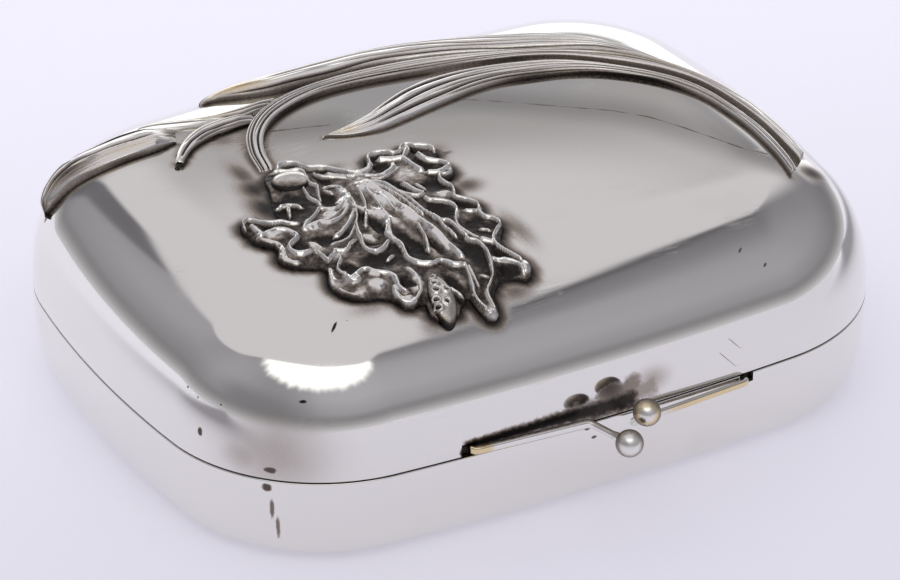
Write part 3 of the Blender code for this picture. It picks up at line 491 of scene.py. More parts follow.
class NodeBench:
    """Short way to lay out shader nodes; a value may be a number, a colour or another output."""

    def __init__(self, tree):
        self.tree = tree

    def add(self, kind, inputs=None, output=0, **options):
        node = self.tree.nodes.new("ShaderNode" + kind)
        for key, value in options.items():
            setattr(node, key, value)
        for key, value in (inputs or {}).items():
            self.feed(node.inputs[key], value)
        return node.outputs[output]

    def feed(self, socket, value):
        if isinstance(value, bpy.types.NodeSocket):
            self.tree.links.new(value, socket)
        else:
            socket.default_value = value

    def math(self, operation, *values):
        return self.add("Math", dict(enumerate(values)), operation=operation)

    def plus(self, first, second):
        return self.math('ADD', first, second)

    def minus(self, first, second):
        return self.math('SUBTRACT', first, second)

    def times(self, first, second):
        return self.math('MULTIPLY', first, second)

    def most(self, first, second):
        return self.math('MAXIMUM', first, second)

    def least(self, first, second):
        return self.math('MINIMUM', first, second)

    def step(self, value, low, high, to_low=0.0, to_high=1.0):
        """Smooth rise of a value between two levels."""
        return self.add("MapRange", {"Value": value, "From Min": low, "From Max": high,
                                     "To Min": to_low, "To Max": to_high},
                        interpolation_type='SMOOTHSTEP')

    def mix(self, factor, first, second):
        """Blend of two colours."""
        node = self.tree.nodes.new("ShaderNodeMix")
        node.data_type = 'RGBA'
        self.feed(node.inputs["Factor"], factor)
        for socket, value in zip(node.inputs[6:8], (first, second)):
            if not isinstance(value, bpy.types.NodeSocket):
                value = (*value[:3], 1.0)
            self.feed(socket, value)
        return node.outputs[2]

    def noise(self, place, scale, detail=2.0, roughness=0.5, distortion=0.0):
        return self.add("TexNoise", {"Vector": place, "Scale": scale, "Detail": detail,
                                     "Roughness": roughness, "Distortion": distortion})

    def curve(self, turn, points):
        """Level from 0 to 1 drawn over a turn from -180 to 180 degrees."""
        node = self.tree.nodes.new("ShaderNodeFloatCurve")
        share = self.add("MapRange", {"Value": turn, "From Min": -180.0, "From Max": 180.0})
        self.feed(node.inputs["Value"], share)
        line = node.mapping.curves[0]
        for index, (azimuth, level) in enumerate(points):
            spot = ((azimuth + 180) / 360, level)
            if index < 2:
                line.points[-index].location = spot
            else:
                line.points.new(*spot)
        node.mapping.update()
        return node.outputs[0]

    def stretched(self, place, turn, scale):
        """Place turned about Z and stretched, for marks that run one way."""
        return self.add("Mapping", {"Vector": place, "Rotation": (0, 0, math.radians(turn)),
                                    "Scale": scale})


def new_material(name, tint):
    made = bpy.data.materials.new(name)
    made.use_nodes = True
    made.diffuse_color = (*tint, 1)
    shader = made.node_tree.nodes["Principled BSDF"]
    return made, NodeBench(made.node_tree), shader


def scratches(bench, place, turn, fine):
    """Thin broken lines that run one way over the metal."""
    streaks = bench.noise(bench.stretched(place, turn, (40, fine, fine)), 1.0, 2.0)
    breaks = bench.noise(place, 90.0, 1.0)
    thin = bench.minus(1.0, bench.math('ABSOLUTE', bench.minus(streaks, 0.5)))
    line = bench.step(thin, 0.985, 1.0)
    return bench.times(line, bench.step(breaks, 0.5, 0.7))


def painted_reflection_line(bench, place, points):
    """Painted reflection: fine dark line through points of the lid's plan, with the metal painted darker beside it.
    """
    flat = bench.add("VectorMath", {0: place, 1: (1, 1, 0)}, operation='MULTIPLY')
    nearest = None
    for start, end in zip(points, points[1:]):
        start, end = Vector((*start, 0)) * MM, Vector((*end, 0)) * MM
        way = (end - start).normalized()
        out = bench.add("VectorMath", {0: flat, 1: tuple(start)}, operation='SUBTRACT')
        run = bench.add("VectorMath", {0: out, 1: tuple(way)}, output=1, operation='DOT_PRODUCT')
        run = bench.least(bench.most(run, 0.0), (end - start).length)
        spot = bench.add("VectorMath", {0: tuple(way), "Scale": run}, operation='SCALE')
        gap = bench.add("VectorMath", {0: out, 1: spot}, output=1, operation='DISTANCE')
        nearest = gap if nearest is None else bench.least(nearest, gap)
    top = bench.step(bench.add("SeparateXYZ", {0: place}).node.outputs[2], 30 * MM, 34 * MM)
    wander = bench.times(bench.minus(bench.noise(place, 300.0, 2.0), 0.5), 0.9 * MM)
    thin = bench.step(bench.math('ABSOLUTE', bench.plus(nearest, wander)), 0.34 * MM, 0.08 * MM)
    soft = bench.times(bench.step(nearest, 9 * MM, 0.0), 0.62)
    return bench.times(top, bench.times(thin, 0.75)), bench.times(top, soft)


def front_shade_streak(bench, place, start, end, reaches, strength):
    """Painted shade along a line on the front wall, with ragged edges; ends as (x, z) in millimetres."""
    parts = bench.add("SeparateXYZ", {0: place}).node.outputs
    ragged = bench.minus(bench.noise(place, 900.0, 3.0, 0.6), 0.5)
    along = bench.add("MapRange", {"Value": parts[0], "From Min": start[0] * MM, "From Max": end[0] * MM})
    middle = bench.plus(start[1] * MM, bench.times(along, (end[1] - start[1]) * MM))
    reach = bench.plus(reaches[0] * MM, bench.times(along, (reaches[1] - reaches[0]) * MM))
    aside = bench.math('DIVIDE', bench.minus(parts[2], middle), reach)
    aside = bench.plus(bench.math('ABSOLUTE', aside), bench.times(ragged, 0.7))
    over = bench.plus(parts[0], bench.times(ragged, 2 * MM))
    ends = bench.times(bench.step(over, (start[0] - 0.6) * MM, (start[0] + 0.6) * MM),
                       bench.step(over, (end[0] + 1.5) * MM, (end[0] - 1.5) * MM))
    front = bench.step(parts[1], -0.050, -0.054)
    shade_streak = bench.times(bench.step(aside, 1.15, 0.2), bench.times(ends, front))
    return bench.times(shade_streak, strength)


def silver_material(name, marks_and_shade=(), patina_and_shade=False, tint=None, dull=0.0, gilt=False, speckle=0.5, shade_streaks=(),
                    reflection_lines=()):
    """Polished silver plate: faint clouds, hair scratches, dulled marks and dark hollows, with painted shade and
    painted reflection lines where they are given.
    """
    finish = settings().finish
    base = tuple(tint or finish.silver)
    made, bench, shader = new_material(name, base)
    place = bench.add("TexCoord", output=3)
    clouds = bench.noise(place, 45.0, 3.0)
    specks = bench.noise(place, 3200.0, 3.0, 0.6)
    hair = bench.most(scratches(bench, place, 24, 1300.0), scratches(bench, place, -58, 1100.0))
    stain_and_shade = bench.times(bench.step(clouds, 0.55, 0.80), 0.10)
    tone = base
    if gilt:
        warm = bench.add("Attribute", attribute_name="gilt", output=2)
        patchy = bench.plus(warm, bench.times(bench.minus(specks, 0.5), 0.6))
        tone = bench.mix(bench.step(patchy, 0.15, 0.85), base, tuple(finish.gilt))
    ragged = bench.noise(place, 520.0, 4.0, 0.7)
    for centre, radius, strength, turn, stretch in marks_and_shade:
        away = bench.add("VectorMath", {0: place, 1: tuple(value * MM for value in centre)},
                         operation='SUBTRACT')
        turned = bench.add("VectorRotate", {"Vector": away, "Axis": (0, 0, 1), "Angle": math.radians(turn)})
        drawn = bench.add("VectorMath", {0: turned, 1: stretch}, operation='MULTIPLY')
        distance = bench.add("VectorMath", {0: drawn}, output=1, operation='LENGTH')
        near = bench.step(distance, radius * MM, 0.0)
        if strength < 0.5:
            bite = bench.times(near, bench.plus(bench.times(clouds, 0.8), 0.6))
        else:
            bite = bench.step(bench.plus(near, bench.times(ragged, 0.8)), 0.75, 1.25)
        stain_and_shade = bench.most(stain_and_shade, bench.times(bite, strength))
    # Painted shade streaks along the front wall
    for start, end, reaches, strength in shade_streaks:
        stain_and_shade = bench.most(stain_and_shade, front_shade_streak(bench, place, start, end, reaches, strength))
    # Painted reflection lines: a thin dark line, and a darker tone beside it
    for points in reflection_lines:
        thin, soft = painted_reflection_line(bench, place, points)
        stain_and_shade = bench.most(stain_and_shade, thin)
        tone = bench.mix(soft, tone, tuple(0.5 * value for value in base))
    # Dark layer: patina in the relief's hollows, and painted shade and reflection on the lid, the wires, the balls
    # and the relief's edges
    if patina_and_shade:
        depth = bench.add("Attribute", attribute_name="patina_and_shade", output=2)
        grainy = bench.times(bench.minus(specks, 0.5), speckle)
        edge = bench.times(depth, bench.minus(1.25, depth))
        mottled = bench.plus(depth, bench.times(grainy, bench.step(edge, 0.0, 0.25)))
        stain_and_shade = bench.most(stain_and_shade, mottled)
    dark = bench.step(stain_and_shade, 0.40, 1.0)
    tone = bench.mix(bench.step(stain_and_shade, 0.0, 0.62), tone, tuple(finish.tarnish_and_shade))
    tone = bench.mix(dark, tone, tuple(finish.patina_and_shade))
    rough = bench.plus(finish.gloss + dull, bench.times(bench.step(stain_and_shade, 0.0, 0.6), 0.30))
    rough = bench.plus(rough, bench.times(hair, 0.12))
    bench.feed(shader.inputs["Base Color"], tone)
    bench.feed(shader.inputs["Roughness"], rough)
    shader.inputs["Metallic"].default_value = 1.0
    height = bench.minus(bench.times(specks, 0.06), hair)
    bump = bench.add("Bump", {"Strength": 0.10, "Distance": 0.00001, "Height": height})
    bench.feed(shader.inputs["Normal"], bump)
    return made


def velvet_material(name):
    """Short dark pile with a soft sheen and slight crushing."""
    tint = tuple(settings().finish.velvet)
    made, bench, shader = new_material(name, tint)
    place = bench.add("TexCoord", output=3)
    crushed = bench.noise(place, 160.0, 4.0, 0.6)
    pile = bench.noise(place, 2600.0, 2.0)
    paler = tuple(1.6 * value for value in tint)
    bench.feed(shader.inputs["Base Color"], bench.mix(bench.step(crushed, 0.30, 0.8), tint, paler))
    shader.inputs["Roughness"].default_value = 0.95
    shader.inputs["Sheen Weight"].default_value = 0.6
    shader.inputs["Sheen Roughness"].default_value = 0.35
    shader.inputs["Sheen Tint"].default_value = (0.45, 0.50, 0.85, 1)
    bump = bench.add("Bump", {"Strength": 0.6, "Distance": 0.0002, "Height": pile})
    bench.feed(shader.inputs["Normal"], bump)
    return made


def steel_material(name):
    """Drawn steel wire, with rings of fine tool marks."""
    tint = tuple(settings().finish.steel)
    made, bench, shader = new_material(name, tint)
    place = bench.add("TexCoord", output=3)
    drawn = bench.noise(bench.stretched(place, 0, (3000, 60, 60)), 1.0, 2.0)
    shader.inputs["Metallic"].default_value = 1.0
    bench.feed(shader.inputs["Base Color"], bench.mix(drawn, tint, tuple(0.6 * value for value in tint)))
    bench.feed(shader.inputs["Roughness"], bench.step(drawn, 0.2, 0.8, 0.22, 0.42))
    bump = bench.add("Bump", {"Strength": 0.3, "Distance": 0.00002, "Height": drawn})
    bench.feed(shader.inputs["Normal"], bump)
    return made


# Pieces

def quarter_turns(count):
    return [math.pi / 2 * (step / count) for step in range(count + 1)]


def lip_steps(radius):
    """Inset and height of a small rounded edge, from its inner side outwards."""
    return [(radius * (1 - math.sin(turn)), radius * (1 - math.cos(turn)))
            for turn in quarter_turns(4)]


def open_notch(mesh, form, low, high):
    """Rectangular notch through both skins of a shell wall on the front, with its jambs closed."""
    def front_faces(room_x=0.0, room_z=0.0):
        found = []
        for face in mesh.faces:
            x, y, z = face.calc_center_median()
            if y < FRONT_ONLY and low.x - room_x < x < high.x + room_x and low.z - room_z < z < high.z + room_z:
                found.append(face)
        return found

    def window():
        faces = front_faces(0.01, 0.006)
        edges = {edge for face in faces for edge in face.edges}
        verts = {vert for face in faces for vert in face.verts}
        return faces + list(edges) + list(verts)

    planes = [((low.x, 0, 0), (1, 0, 0)), ((high.x, 0, 0), (1, 0, 0))]
    level = high.z if high.z > form.sizes.seam_height + form.sizes.wall else low.z
    planes.append(((0, 0, level), (0, 0, 1)))
    for place, way in planes:
        bmesh.ops.bisect_plane(mesh, geom=window(), dist=1e-7, plane_co=place, plane_no=way)
    bmesh.ops.delete(mesh, geom=front_faces(), context='FACES')
    for axis, place in ((0, low.x), (0, high.x), (2, level)):
        edges = [edge for edge in mesh.edges if edge.is_boundary
                 and all(abs(vert.co[axis] - place) < 1e-6 for vert in edge.verts)]
        ends = [vert for edge in edges for vert in edge.verts]
        loose = [vert for vert in set(ends) if ends.count(vert) == 1]
        while len(loose) > 1:
            here = loose.pop()
            near = min(loose, key=lambda vert: (vert.co - here.co).length)
            loose.remove(near)
            edges.append(mesh.edges.get((here, near)) or mesh.edges.new((here, near)))
        bmesh.ops.contextual_create(mesh, geom=list(set(edges)))


def shade_and_tarnish_round_relief(places):
    """Darkening of the lid beside the relief: tarnish where polish never reaches, and painted shade beside the
    raised parts.
    """
    outside = -inside_outline(places, LEAF_OUTLINE)
    dark = 0.95 * np.exp(-(np.clip(outside, 0, None) / 1.7) ** 2)
    for centre, radii, strength in LID_SHADE_AND_TARNISH:
        dark = np.maximum(dark, strength * bell(places, centre, radii))
    for edges, side, reach, strength in (
            (MAIN_STEM_EDGES[:8], 0, 1.3, 0.7), (MAIN_STEM_EDGES[:9], 1, 1.3, 0.75),
            (MAIN_STEM_EDGES[8:], 0, 0.5, 0.6), (MIDDLE_LEAF_EDGES, 1, 0.6, 0.7),
            (MIDDLE_LEAF_EDGES, 0, 0.5, 0.6), (UPPER_LEAF_EDGES, 1, 0.6, 0.6),
            (LEFT_STEM_EDGES[3:], 1, 0.4, 0.5), (TENDRIL_EDGES, 1, 0.9, 0.8), (TENDRIL_EDGES[4:], 0, 0.7, 0.6),
            (BUD_EDGES, 1, 0.7, 0.95), (BUD_EDGES[:2], 0, 1.2, 0.7)):
        away, _ = line_distance(places, drawn_line(edges[:, 2 * side:2 * side + 2], 3))
        dark = np.maximum(dark, strength * np.exp(-(away / reach) ** 2))
    return dark


def build_lid_skin(look):
    """Lid from its domed top over the shoulder to the seam and back up inside, with its notch."""
    sizes, clasp = settings().body, settings().clasp
    form = BodyForm(sizes)
    top = form.top
    top_shares = np.linspace(0.025, 0.975, 39)
    rings = [form.top_ring(share, top) for share in top_shares]
    rolled = [ring[:, :2] for ring in rings]
    for turn in reversed(quarter_turns(64)[3:]):
        rings.append(form.lid_ring(turn))
        run = form.table_run[-1] - np.interp(turn, form.table_turn, form.table_run)
        rolled.append(form.centres + (form.radii - sizes.lid_shoulder + run) * form.ways)
    # Tarnish and painted shade beside the relief, over the top and the outer shoulder
    dark = shade_and_tarnish_round_relief(np.vstack(rolled) / MM).reshape(len(rolled), -1)
    lip = lip_steps(sizes.lip_radius)
    rings += [form.ring(inset, sizes.seam_height + sizes.seam_gap / 2 + rise) for inset, rise in reversed(lip)]
    inner = quarter_turns(14)
    rings += [form.lid_ring(turn, sizes.wall) for turn in inner]
    rings += [form.top_ring(scale, top, sizes.wall) for scale in (0.7, 0.4, 0.1)]
    mesh = grow_rings(rings)
    row, station = mesh.verts.layers.int["row"], mesh.verts.layers.int["station"]
    patina_and_shade = mesh.verts.layers.float.new("patina_and_shade")
    for vert in mesh.verts:
        vert[patina_and_shade] = dark[vert[row], vert[station]] if vert[row] < len(dark) else 0.0
    root = clasp.lid_root_x
    half = clasp.wire_width / 2
    low = Vector((root - half - clasp.notch_slack, 0, sizes.seam_height - sizes.wall))
    high = Vector((root + half + sizes.clearance, 0,
                   sizes.seam_height + clasp.lid_arm_rise + half + sizes.clearance))
    open_notch(mesh, form, low, high)
    return finish_piece("lid_skin", mesh, look, "lid", ["lid_shell"])


def build_base_skin(look):
    """Base from its flat foot up to the seam and back down inside, with its notch."""
    sizes, clasp = settings().body, settings().clasp
    form = BodyForm(sizes)
    rings = [form.base_ring(turn) for turn in reversed(quarter_turns(40)[3:])]
    floor = rings[0]
    rings = [np.column_stack((floor[:, :2] * scale, floor[:, 2])) for scale in (0.05, 0.3, 0.6, 0.9)] + rings
    lip = lip_steps(sizes.lip_radius)
    edge = sizes.seam_height - sizes.seam_gap / 2
    rings += [form.ring(inset, edge - drop) for inset, drop in reversed(lip)]
    rings += [form.base_ring(turn, sizes.wall) for turn in quarter_turns(16)]
    inner_floor = rings[-1]
    rings += [np.column_stack((inner_floor[:, :2] * scale, inner_floor[:, 2])) for scale in (0.6, 0.1)]
    mesh = grow_rings(rings)
    root = clasp.base_root_x
    half = clasp.wire_width / 2
    low = Vector((root - half - sizes.clearance, 0,
                  sizes.seam_height - clasp.base_arm_drop - half - sizes.clearance))
    high = Vector((root + half + clasp.notch_slack, 0, sizes.seam_height + sizes.wall / 2))
    open_notch(mesh, form, low, high)
    return finish_piece("base_skin", mesh, look, "base", ["base_shell"])


# Marks on the metal, some of them painted shade: centre in millimetres, radius, strength, turn in degrees and
# stretch
LID_MARKS_AND_SHADE = [
    # Dark haze on the front wall round the balls' reflections, partly tarnish and partly painted shade
    ((2.2, -58.5, 24.0), 4.6, 0.58, 0, (0.55, 1.0, 1.0)),
    ((6.0, -58.4, 24.2), 4.4, 0.55, 0, (0.75, 1.0, 0.8)),
    ((10.5, -58.4, 24.2), 5.0, 0.35, 0, (0.7, 1.0, 1.0)),
    # Painted shade at the lid's clasp notch
    ((-28.9, -58.1, 20.0), 1.9, 1.0, 0, (1.0, 0.3, 0.8)),
    ((-62.0, -47.5, 24.0), 17.0, 0.36, 0, (0.8, 0.8, 1.1)),
    ((-66.0, -44.0, 23.0), 9.0, 0.36, 0, (0.8, 0.8, 1.1)),
    ((-57.0, -48.9, 34.4), 1.1, 1.0, 30, (0.7, 1.0, 1.5)),
    ((-63.4, -47.8, 21.2), 2.0, 0.8, 35, (0.7, 1.0, 1.3)),
    ((-71.2, -35.4, 24.9), 1.2, 0.8, 0, (1.0, 1.0, 0.6)),
    ((-70.9, -30.4, 31.7), 0.45, 1.0, 0, (1.0, 1.0, 1.0)),
    ((-70.4, -33.4, 31.0), 0.4, 1.0, 0, (1.0, 1.0, 1.0)),
    ((-68.2, -38.3, 31.4), 0.4, 1.0, 0, (1.0, 1.0, 1.0)),
    ((-46.8, -41.8, 43.4), 1.9, 1.0, -42, (0.65, 3.2, 1.0)),
    ((-44.0, -41.5, 44.0), 0.7, 1.0, 0, (1.0, 1.0, 1.0)),
    ((34.7, -49.3, 40.3), 0.45, 0.7, -40, (0.25, 1.0, 0.5)),
    ((38.5, -52.1, 37.5), 0.45, 0.7, -40, (0.3, 1.0, 0.6)),
]
# Dark streaks on the front wall by the clasp, the broad ones painted shade and reflection of the wires: both ends
# as (x, z), reach at each end and strength
LID_SHADE_STREAKS = [
    ((-29.0, 21.4), (-12.0, 21.6), (1.4, 2.0), 0.95), ((-13.5, 21.6), (0.0, 21.4), (2.0, 2.7), 0.95),
    ((-3.0, 21.2), (7.6, 21.6), (3.2, 3.4), 0.92), ((5.5, 22.4), (12.0, 23.2), (3.0, 3.6), 0.48),
    ((27.7, 27.4), (30.0, 24.9), (0.16, 0.14), 0.75), ((25.5, 25.2), (29.0, 21.4), (0.16, 0.12), 0.7),
]
# Painted reflection: fine dark lines across the lid's top, in its plan, where the metal mirrors an edge of the room
LID_REFLECTION_LINES = [
    [(-26.0, 25.6), (-19.6, 23.5), (-14.2, 21.5)],
    [(8.0, 19.8), (14.1, 17.1), (23.4, 10.0), (31.4, 4.1), (36.4, 0.5), (41.4, -4.7), (45.0, -10.9),
        (51.4, -23.6), (54.4, -26.7)],
]
BASE_MARKS = [
    ((-63.8, -47.4, 17.4), 1.8, 0.8, 35, (0.9, 1.0, 1.0)),
    ((-63.2, -48.0, 13.0), 3.2, 0.66, 35, (3.2, 1.0, 0.7)),
    ((-62.4, -48.6, 8.6), 3.4, 0.62, 35, (3.6, 1.0, 0.6)),
    ((-3.4, -58.8, 17.8), 0.8, 0.75, 0, (0.55, 1.0, 1.0)),
    ((-1.9, -58.8, 15.6), 0.8, 0.75, 0, (0.7, 1.0, 1.2)),
]
# Painted shade on the inner lip where it shows through the two clasp notches
LIP_NOTCH_SHADE = [
    ((-28.5, -57.0, 20.5), 6.0, 1.0, 0, (0.8, 1.0, 1.0)),
    ((32.5, -56.5, 18.5), 6.0, 1.0, 0, (0.8, 1.0, 1.0)),
]


class TRINKET_OT_skins(Operator):
    """Builds the polished skins of the lid and the base"""
    bl_idname = "trinket.skins"
    bl_label = "Lid and Base Skins"

    def execute(self, context):
        build_lid_skin(silver_material("lid_silver", LID_MARKS_AND_SHADE, patina_and_shade=True, speckle=0.25,
                                       shade_streaks=LID_SHADE_STREAKS, reflection_lines=LID_REFLECTION_LINES))
        build_base_skin(silver_material("base_silver", BASE_MARKS))
        return {'FINISHED'}


def wire_path(points, radius, steps=6):
    """Path through corner points, with each inner corner rounded and long runs divided."""
    bent = [points[0]]
    for before, corner, after in zip(points, points[1:], points[2:]):
        back = (before - corner).normalized() * radius
        ahead = (after - corner).normalized() * radius
        for step in range(steps + 1):
            part = step / steps
            bent.append(corner + (1 - part) ** 2 * back + part ** 2 * ahead)
    bent.append(points[-1])
    path = [bent[0]]
    for start, end in zip(bent, bent[1:]):
        count = max(1, round((end - start).length / (0.5 * MM)))
        path += [start.lerp(end, step / count) for step in range(1, count + 1)]
    return path


def squared_circle(squareness, count):
    """Points of a circle drawn out towards a square, one unit from the middle to each side."""
    turn = np.arange(count) * 2 * math.pi / count
    across, up = np.cos(turn), np.sin(turn)
    reach = (np.abs(across) ** squareness + np.abs(up) ** squareness) ** (-1 / squareness)
    return np.column_stack((across * reach, up * reach))


def build_arm(name, node, body, look, root_x, level, bend, ball, gilded, slim=(1.0, 1.0)):
    """Sprung wire from its notch along the wall to its ball: square first, then drawn round."""
    sizes, clasp = settings().body, settings().clasp
    half = clasp.wire_width / 2
    wall = -BodyForm(sizes).wall_y(root_x)
    bend, ball = Vector(bend), Vector(ball)
    corners = [Vector((root_x, wall + sizes.wall - sizes.clearance, level)),
               Vector((root_x, wall - clasp.wall_gap - half, level)), bend,
               ball - (ball - bend).normalized() * clasp.ball_radius / 2]
    path = wire_path(corners, clasp.bend_radius)
    steps = [(after - before).length for before, after in zip(path, path[1:])]
    run = np.concatenate(([0.0], np.cumsum(steps)))
    at_bend = run[min(range(len(path)), key=lambda index: (path[index] - bend).length)]
    rings, fronts, ups = [], [], []
    for index, place in enumerate(path):
        way = (path[min(index + 1, len(path) - 1)] - path[max(index - 1, 0)]).normalized()
        side = way.cross(Vector((0, 0, 1))).normalized()
        over = side.cross(way)
        rounded = smooth_step(at_bend - 0.0015, at_bend + 0.0010, run[index])
        flare = 1 + 0.3 * smooth_step(run[-1] - 0.0028, run[-1] - 0.0012, run[index])
        section = squared_circle(6.5 - 4.5 * rounded, 28) * flare
        thin = 1 - (1 - np.array(slim)) * (1 - rounded)
        offsets = section[:, :1] * thin[0] * np.array(side) + section[:, 1:] * thin[1] * np.array(over)
        rings.append(np.array(place) + half * offsets)
        fronts.append(-offsets[:, 1])
        ups.append(offsets[:, 2])
    front, up = np.array(fronts), np.array(ups)
    along = np.broadcast_to(run[:, None], front.shape)
    straight = 1 - smooth_step(at_bend - 0.001, at_bend + 0.001, along)
    # Painted shade and reflection: darker on the side towards the wall, along the top and bottom front edges of the
    # square run, and on top of the round run
    patina_and_shade = 0.6 * smooth_step(0.15, 0.85, -front) * (0.35 + 0.65 * straight)
    patina_and_shade += straight * (0.25 * np.exp(-((front - 0.92) ** 2 + (up - 0.92) ** 2) / 0.05)
                          + 0.75 * np.exp(-((front - 0.9) ** 2 + (up + 0.95) ** 2) / 0.06))
    patina_and_shade += (1 - straight) * 0.55 * smooth_step(0.45, 0.95, up)
    gilt = gilded(along / MM, front, up)
    mesh = grow_rings(rings)
    row, station = mesh.verts.layers.int["row"], mesh.verts.layers.int["station"]
    layers = [mesh.verts.layers.float.new(key) for key in ("patina_and_shade", "gilt")]
    for vert in mesh.verts:
        for layer, values in zip(layers, (patina_and_shade, gilt)):
            vert[layer] = float(np.clip(values[vert[row], vert[station]], 0, 1))
    return finish_piece(name, mesh, look, body, [node], smooth_angle=50)


def build_ball(name, node, body, look, centre, warmth):
    """Snap ball, a painted reflection: bright on the side that faces the camera and darker towards its rim and
    back.
    """
    clasp = settings().clasp
    mesh = bmesh.new()
    layers = [mesh.verts.layers.float.new(key) for key in ("patina_and_shade", "gilt")]
    bmesh.ops.create_uvsphere(mesh, u_segments=64, v_segments=40, radius=clasp.ball_radius)
    # Points at the camera; the painted reflection is brightest there
    painted_bright_side = Vector((-0.42, -0.80, 0.36)).normalized()
    for vert in mesh.verts:
        facing = vert.co.normalized().dot(painted_bright_side)
        vert[layers[0]] = float(0.78 - 0.33 * smooth_step(-0.1, 0.55, facing) - 0.45 * smooth_step(0.5, 0.85,
                                                                                                   facing))
        vert[layers[1]] = float(warmth * (1 - smooth_step(0.75, 0.98, facing)))
        vert.co += Vector(centre)
    return finish_piece(name, mesh, look, body, [node], smooth_angle=None)


class TRINKET_OT_clasp(Operator):
    """Draws the two sprung wires and sets their snap balls"""
    bl_idname = "trinket.clasp"
    bl_label = "Clasp"

    def execute(self, context):
        sizes, clasp = settings().body, settings().clasp
        wire = silver_material("wire_silver", patina_and_shade=True, gilt=True, dull=0.04, speckle=0.4)
        ball = silver_material("ball_silver", patina_and_shade=True, gilt=True, dull=0.22, speckle=0.5)

        def lid_gilt(run, front, up):
            ending = 1 - smooth_step(3.2, 6.5, run)
            edge = (1 - smooth_step(7.0, 14.0, run)) * smooth_step(0.2, 0.9, -up)
            return np.maximum(ending, 0.8 * edge)

        def base_gilt(run, front, up):
            faded = 1 - 0.85 * smooth_step(15.0, 24.0, run)
            return faded * smooth_step(0.2, 0.8, front) * smooth_step(-1.2, -0.2, up)

        build_arm("lid_arm_wire", "lid_clasp_arm", "lid_arm", wire, clasp.lid_root_x,
                  sizes.seam_height + clasp.lid_arm_rise, clasp.lid_bend, clasp.lid_ball, lid_gilt)
        build_arm("base_arm_wire", "base_clasp_arm", "base_arm", wire, clasp.base_root_x,
                  sizes.seam_height - clasp.base_arm_drop, clasp.base_bend, clasp.base_ball, base_gilt,
                  slim=(0.72, 0.85))
        build_ball("lid_snap_ball", "lid_clasp_ball", "lid_arm", ball, clasp.lid_ball, 0.25)
        build_ball("base_snap_ball", "base_clasp_ball", "base_arm", ball, clasp.base_ball, 0.75)
        return {'FINISHED'}


def joined(parts):
    """One bmesh out of several."""
    whole = parts[0]
    for part in parts[1:]:
        data = bpy.data.meshes.new("joined")
        part.to_mesh(data)
        part.free()
        whole.from_mesh(data)
        bpy.data.meshes.remove(data)
    return whole


def back_block(start, end, near, far, low, high):
    """Block with soft edges along the curve of the back wall, between places along X."""
    form = BodyForm(settings().body)
    section = squared_circle(9.0, 36) / 2 + 0.5
    rings = []
    for step in range(13):
        x = start + (end - start) * step / 12
        shrink = 1 - 0.12 * (step in (0, 12))
        wall = form.wall_y(x)
        rings.append(np.column_stack((
            np.full(len(section), x),
            wall + near + (far - near) * (0.5 + (section[:, 0] - 0.5) * shrink),
            low + (high - low) * (0.5 + (section[:, 1] - 0.5) * (1 - 0.03 * (step in (0, 12)))))))
    return grow_rings(rings)


def turned_rings(profile, centre_y, centre_z, count=48):
    """Rings of a form turned about a line along X, from its (x, radius) profile."""
    turn = np.arange(count) * 2 * math.pi / count
    return [np.column_stack((np.full(count, x), centre_y + radius * np.cos(turn),
                             centre_z + radius * np.sin(turn))) for x, radius in profile]


class TRINKET_OT_hinge(Operator):
    """Builds both leaves of the back hinge with their knuckles, and the pin"""
    bl_idname = "trinket.hinge"
    bl_label = "Hinge"

    def execute(self, context):
        sizes, hinge = settings().body, settings().hinge
        form = BodyForm(sizes)
        silver = silver_material("hinge_silver", HINGE_MARKS, dull=0.08)
        steel = steel_material("pin_steel_drawn")
        axis_y = (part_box("hinge_pin")[0][1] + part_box("hinge_pin")[1][1]) / 2
        pitch = hinge.length / 5
        reach = hinge.knuckle_radius + sizes.clearance
        bore = hinge.pin_radius + sizes.clearance
        soft = 0.00018
        for side, node, body in ((-1, "base_hinge_leaf", "base"), (1, "lid_hinge_leaf", "lid")):
            low, high = sorted((sizes.seam_height + side * reach, sizes.seam_height + side * hinge.leaf_height))
            near = sizes.clearance
            far = near + hinge.leaf_thickness
            parts = [back_block(-hinge.length / 2, hinge.length / 2, near, far, low, high)]
            for knuckle in range(0 if side < 0 else 1, 5, 2):
                start = -hinge.length / 2 + knuckle * pitch + sizes.clearance / 2
                end = start + pitch - sizes.clearance
                neck = sorted((sizes.seam_height + side * sizes.clearance,
                               sizes.seam_height + side * (reach + hinge.leaf_thickness)))
                parts.append(back_block(start + soft, end - soft, near + soft / 2, far - soft / 2, *neck))
                radius = hinge.knuckle_radius
                profile = [(start, radius - soft), (start + soft * 0.3, radius - soft * 0.3),
                           (start + soft, radius), (end - soft, radius),
                           (end - soft * 0.3, radius - soft * 0.3), (end, radius - soft), (end, bore),
                           (start, bore)]
                parts.append(grow_rings(turned_rings(profile, axis_y, sizes.seam_height), closed=True))
            finish_piece(node.replace("hinge_leaf", "hinge_plate"), joined(parts), silver, body, [node],
                         smooth_angle=35)
        half = hinge.length / 2 + sizes.clearance
        head, pin = hinge.head_radius, hinge.pin_radius
        dome = [(half + head * (0.25 + 0.55 * math.sin(turn)), head * math.cos(turn))
                for turn in quarter_turns(8)[:-1]]
        profile = ([(-x, radius) for x, radius in reversed(dome)] + [(-half, head), (-half, pin), (half, pin),
                                                                     (half, head)] + dome)
        mesh = grow_rings(turned_rings(profile, axis_y, sizes.seam_height))
        finish_piece("hinge_pin_rod", mesh, steel, "base", ["hinge_pin"], smooth_angle=35)
        return {'FINISHED'}


HINGE_MARKS = [((0.0, 60.5, 19.0), 16.0, 0.45, 0, (0.8, 1.0, 3.0))]


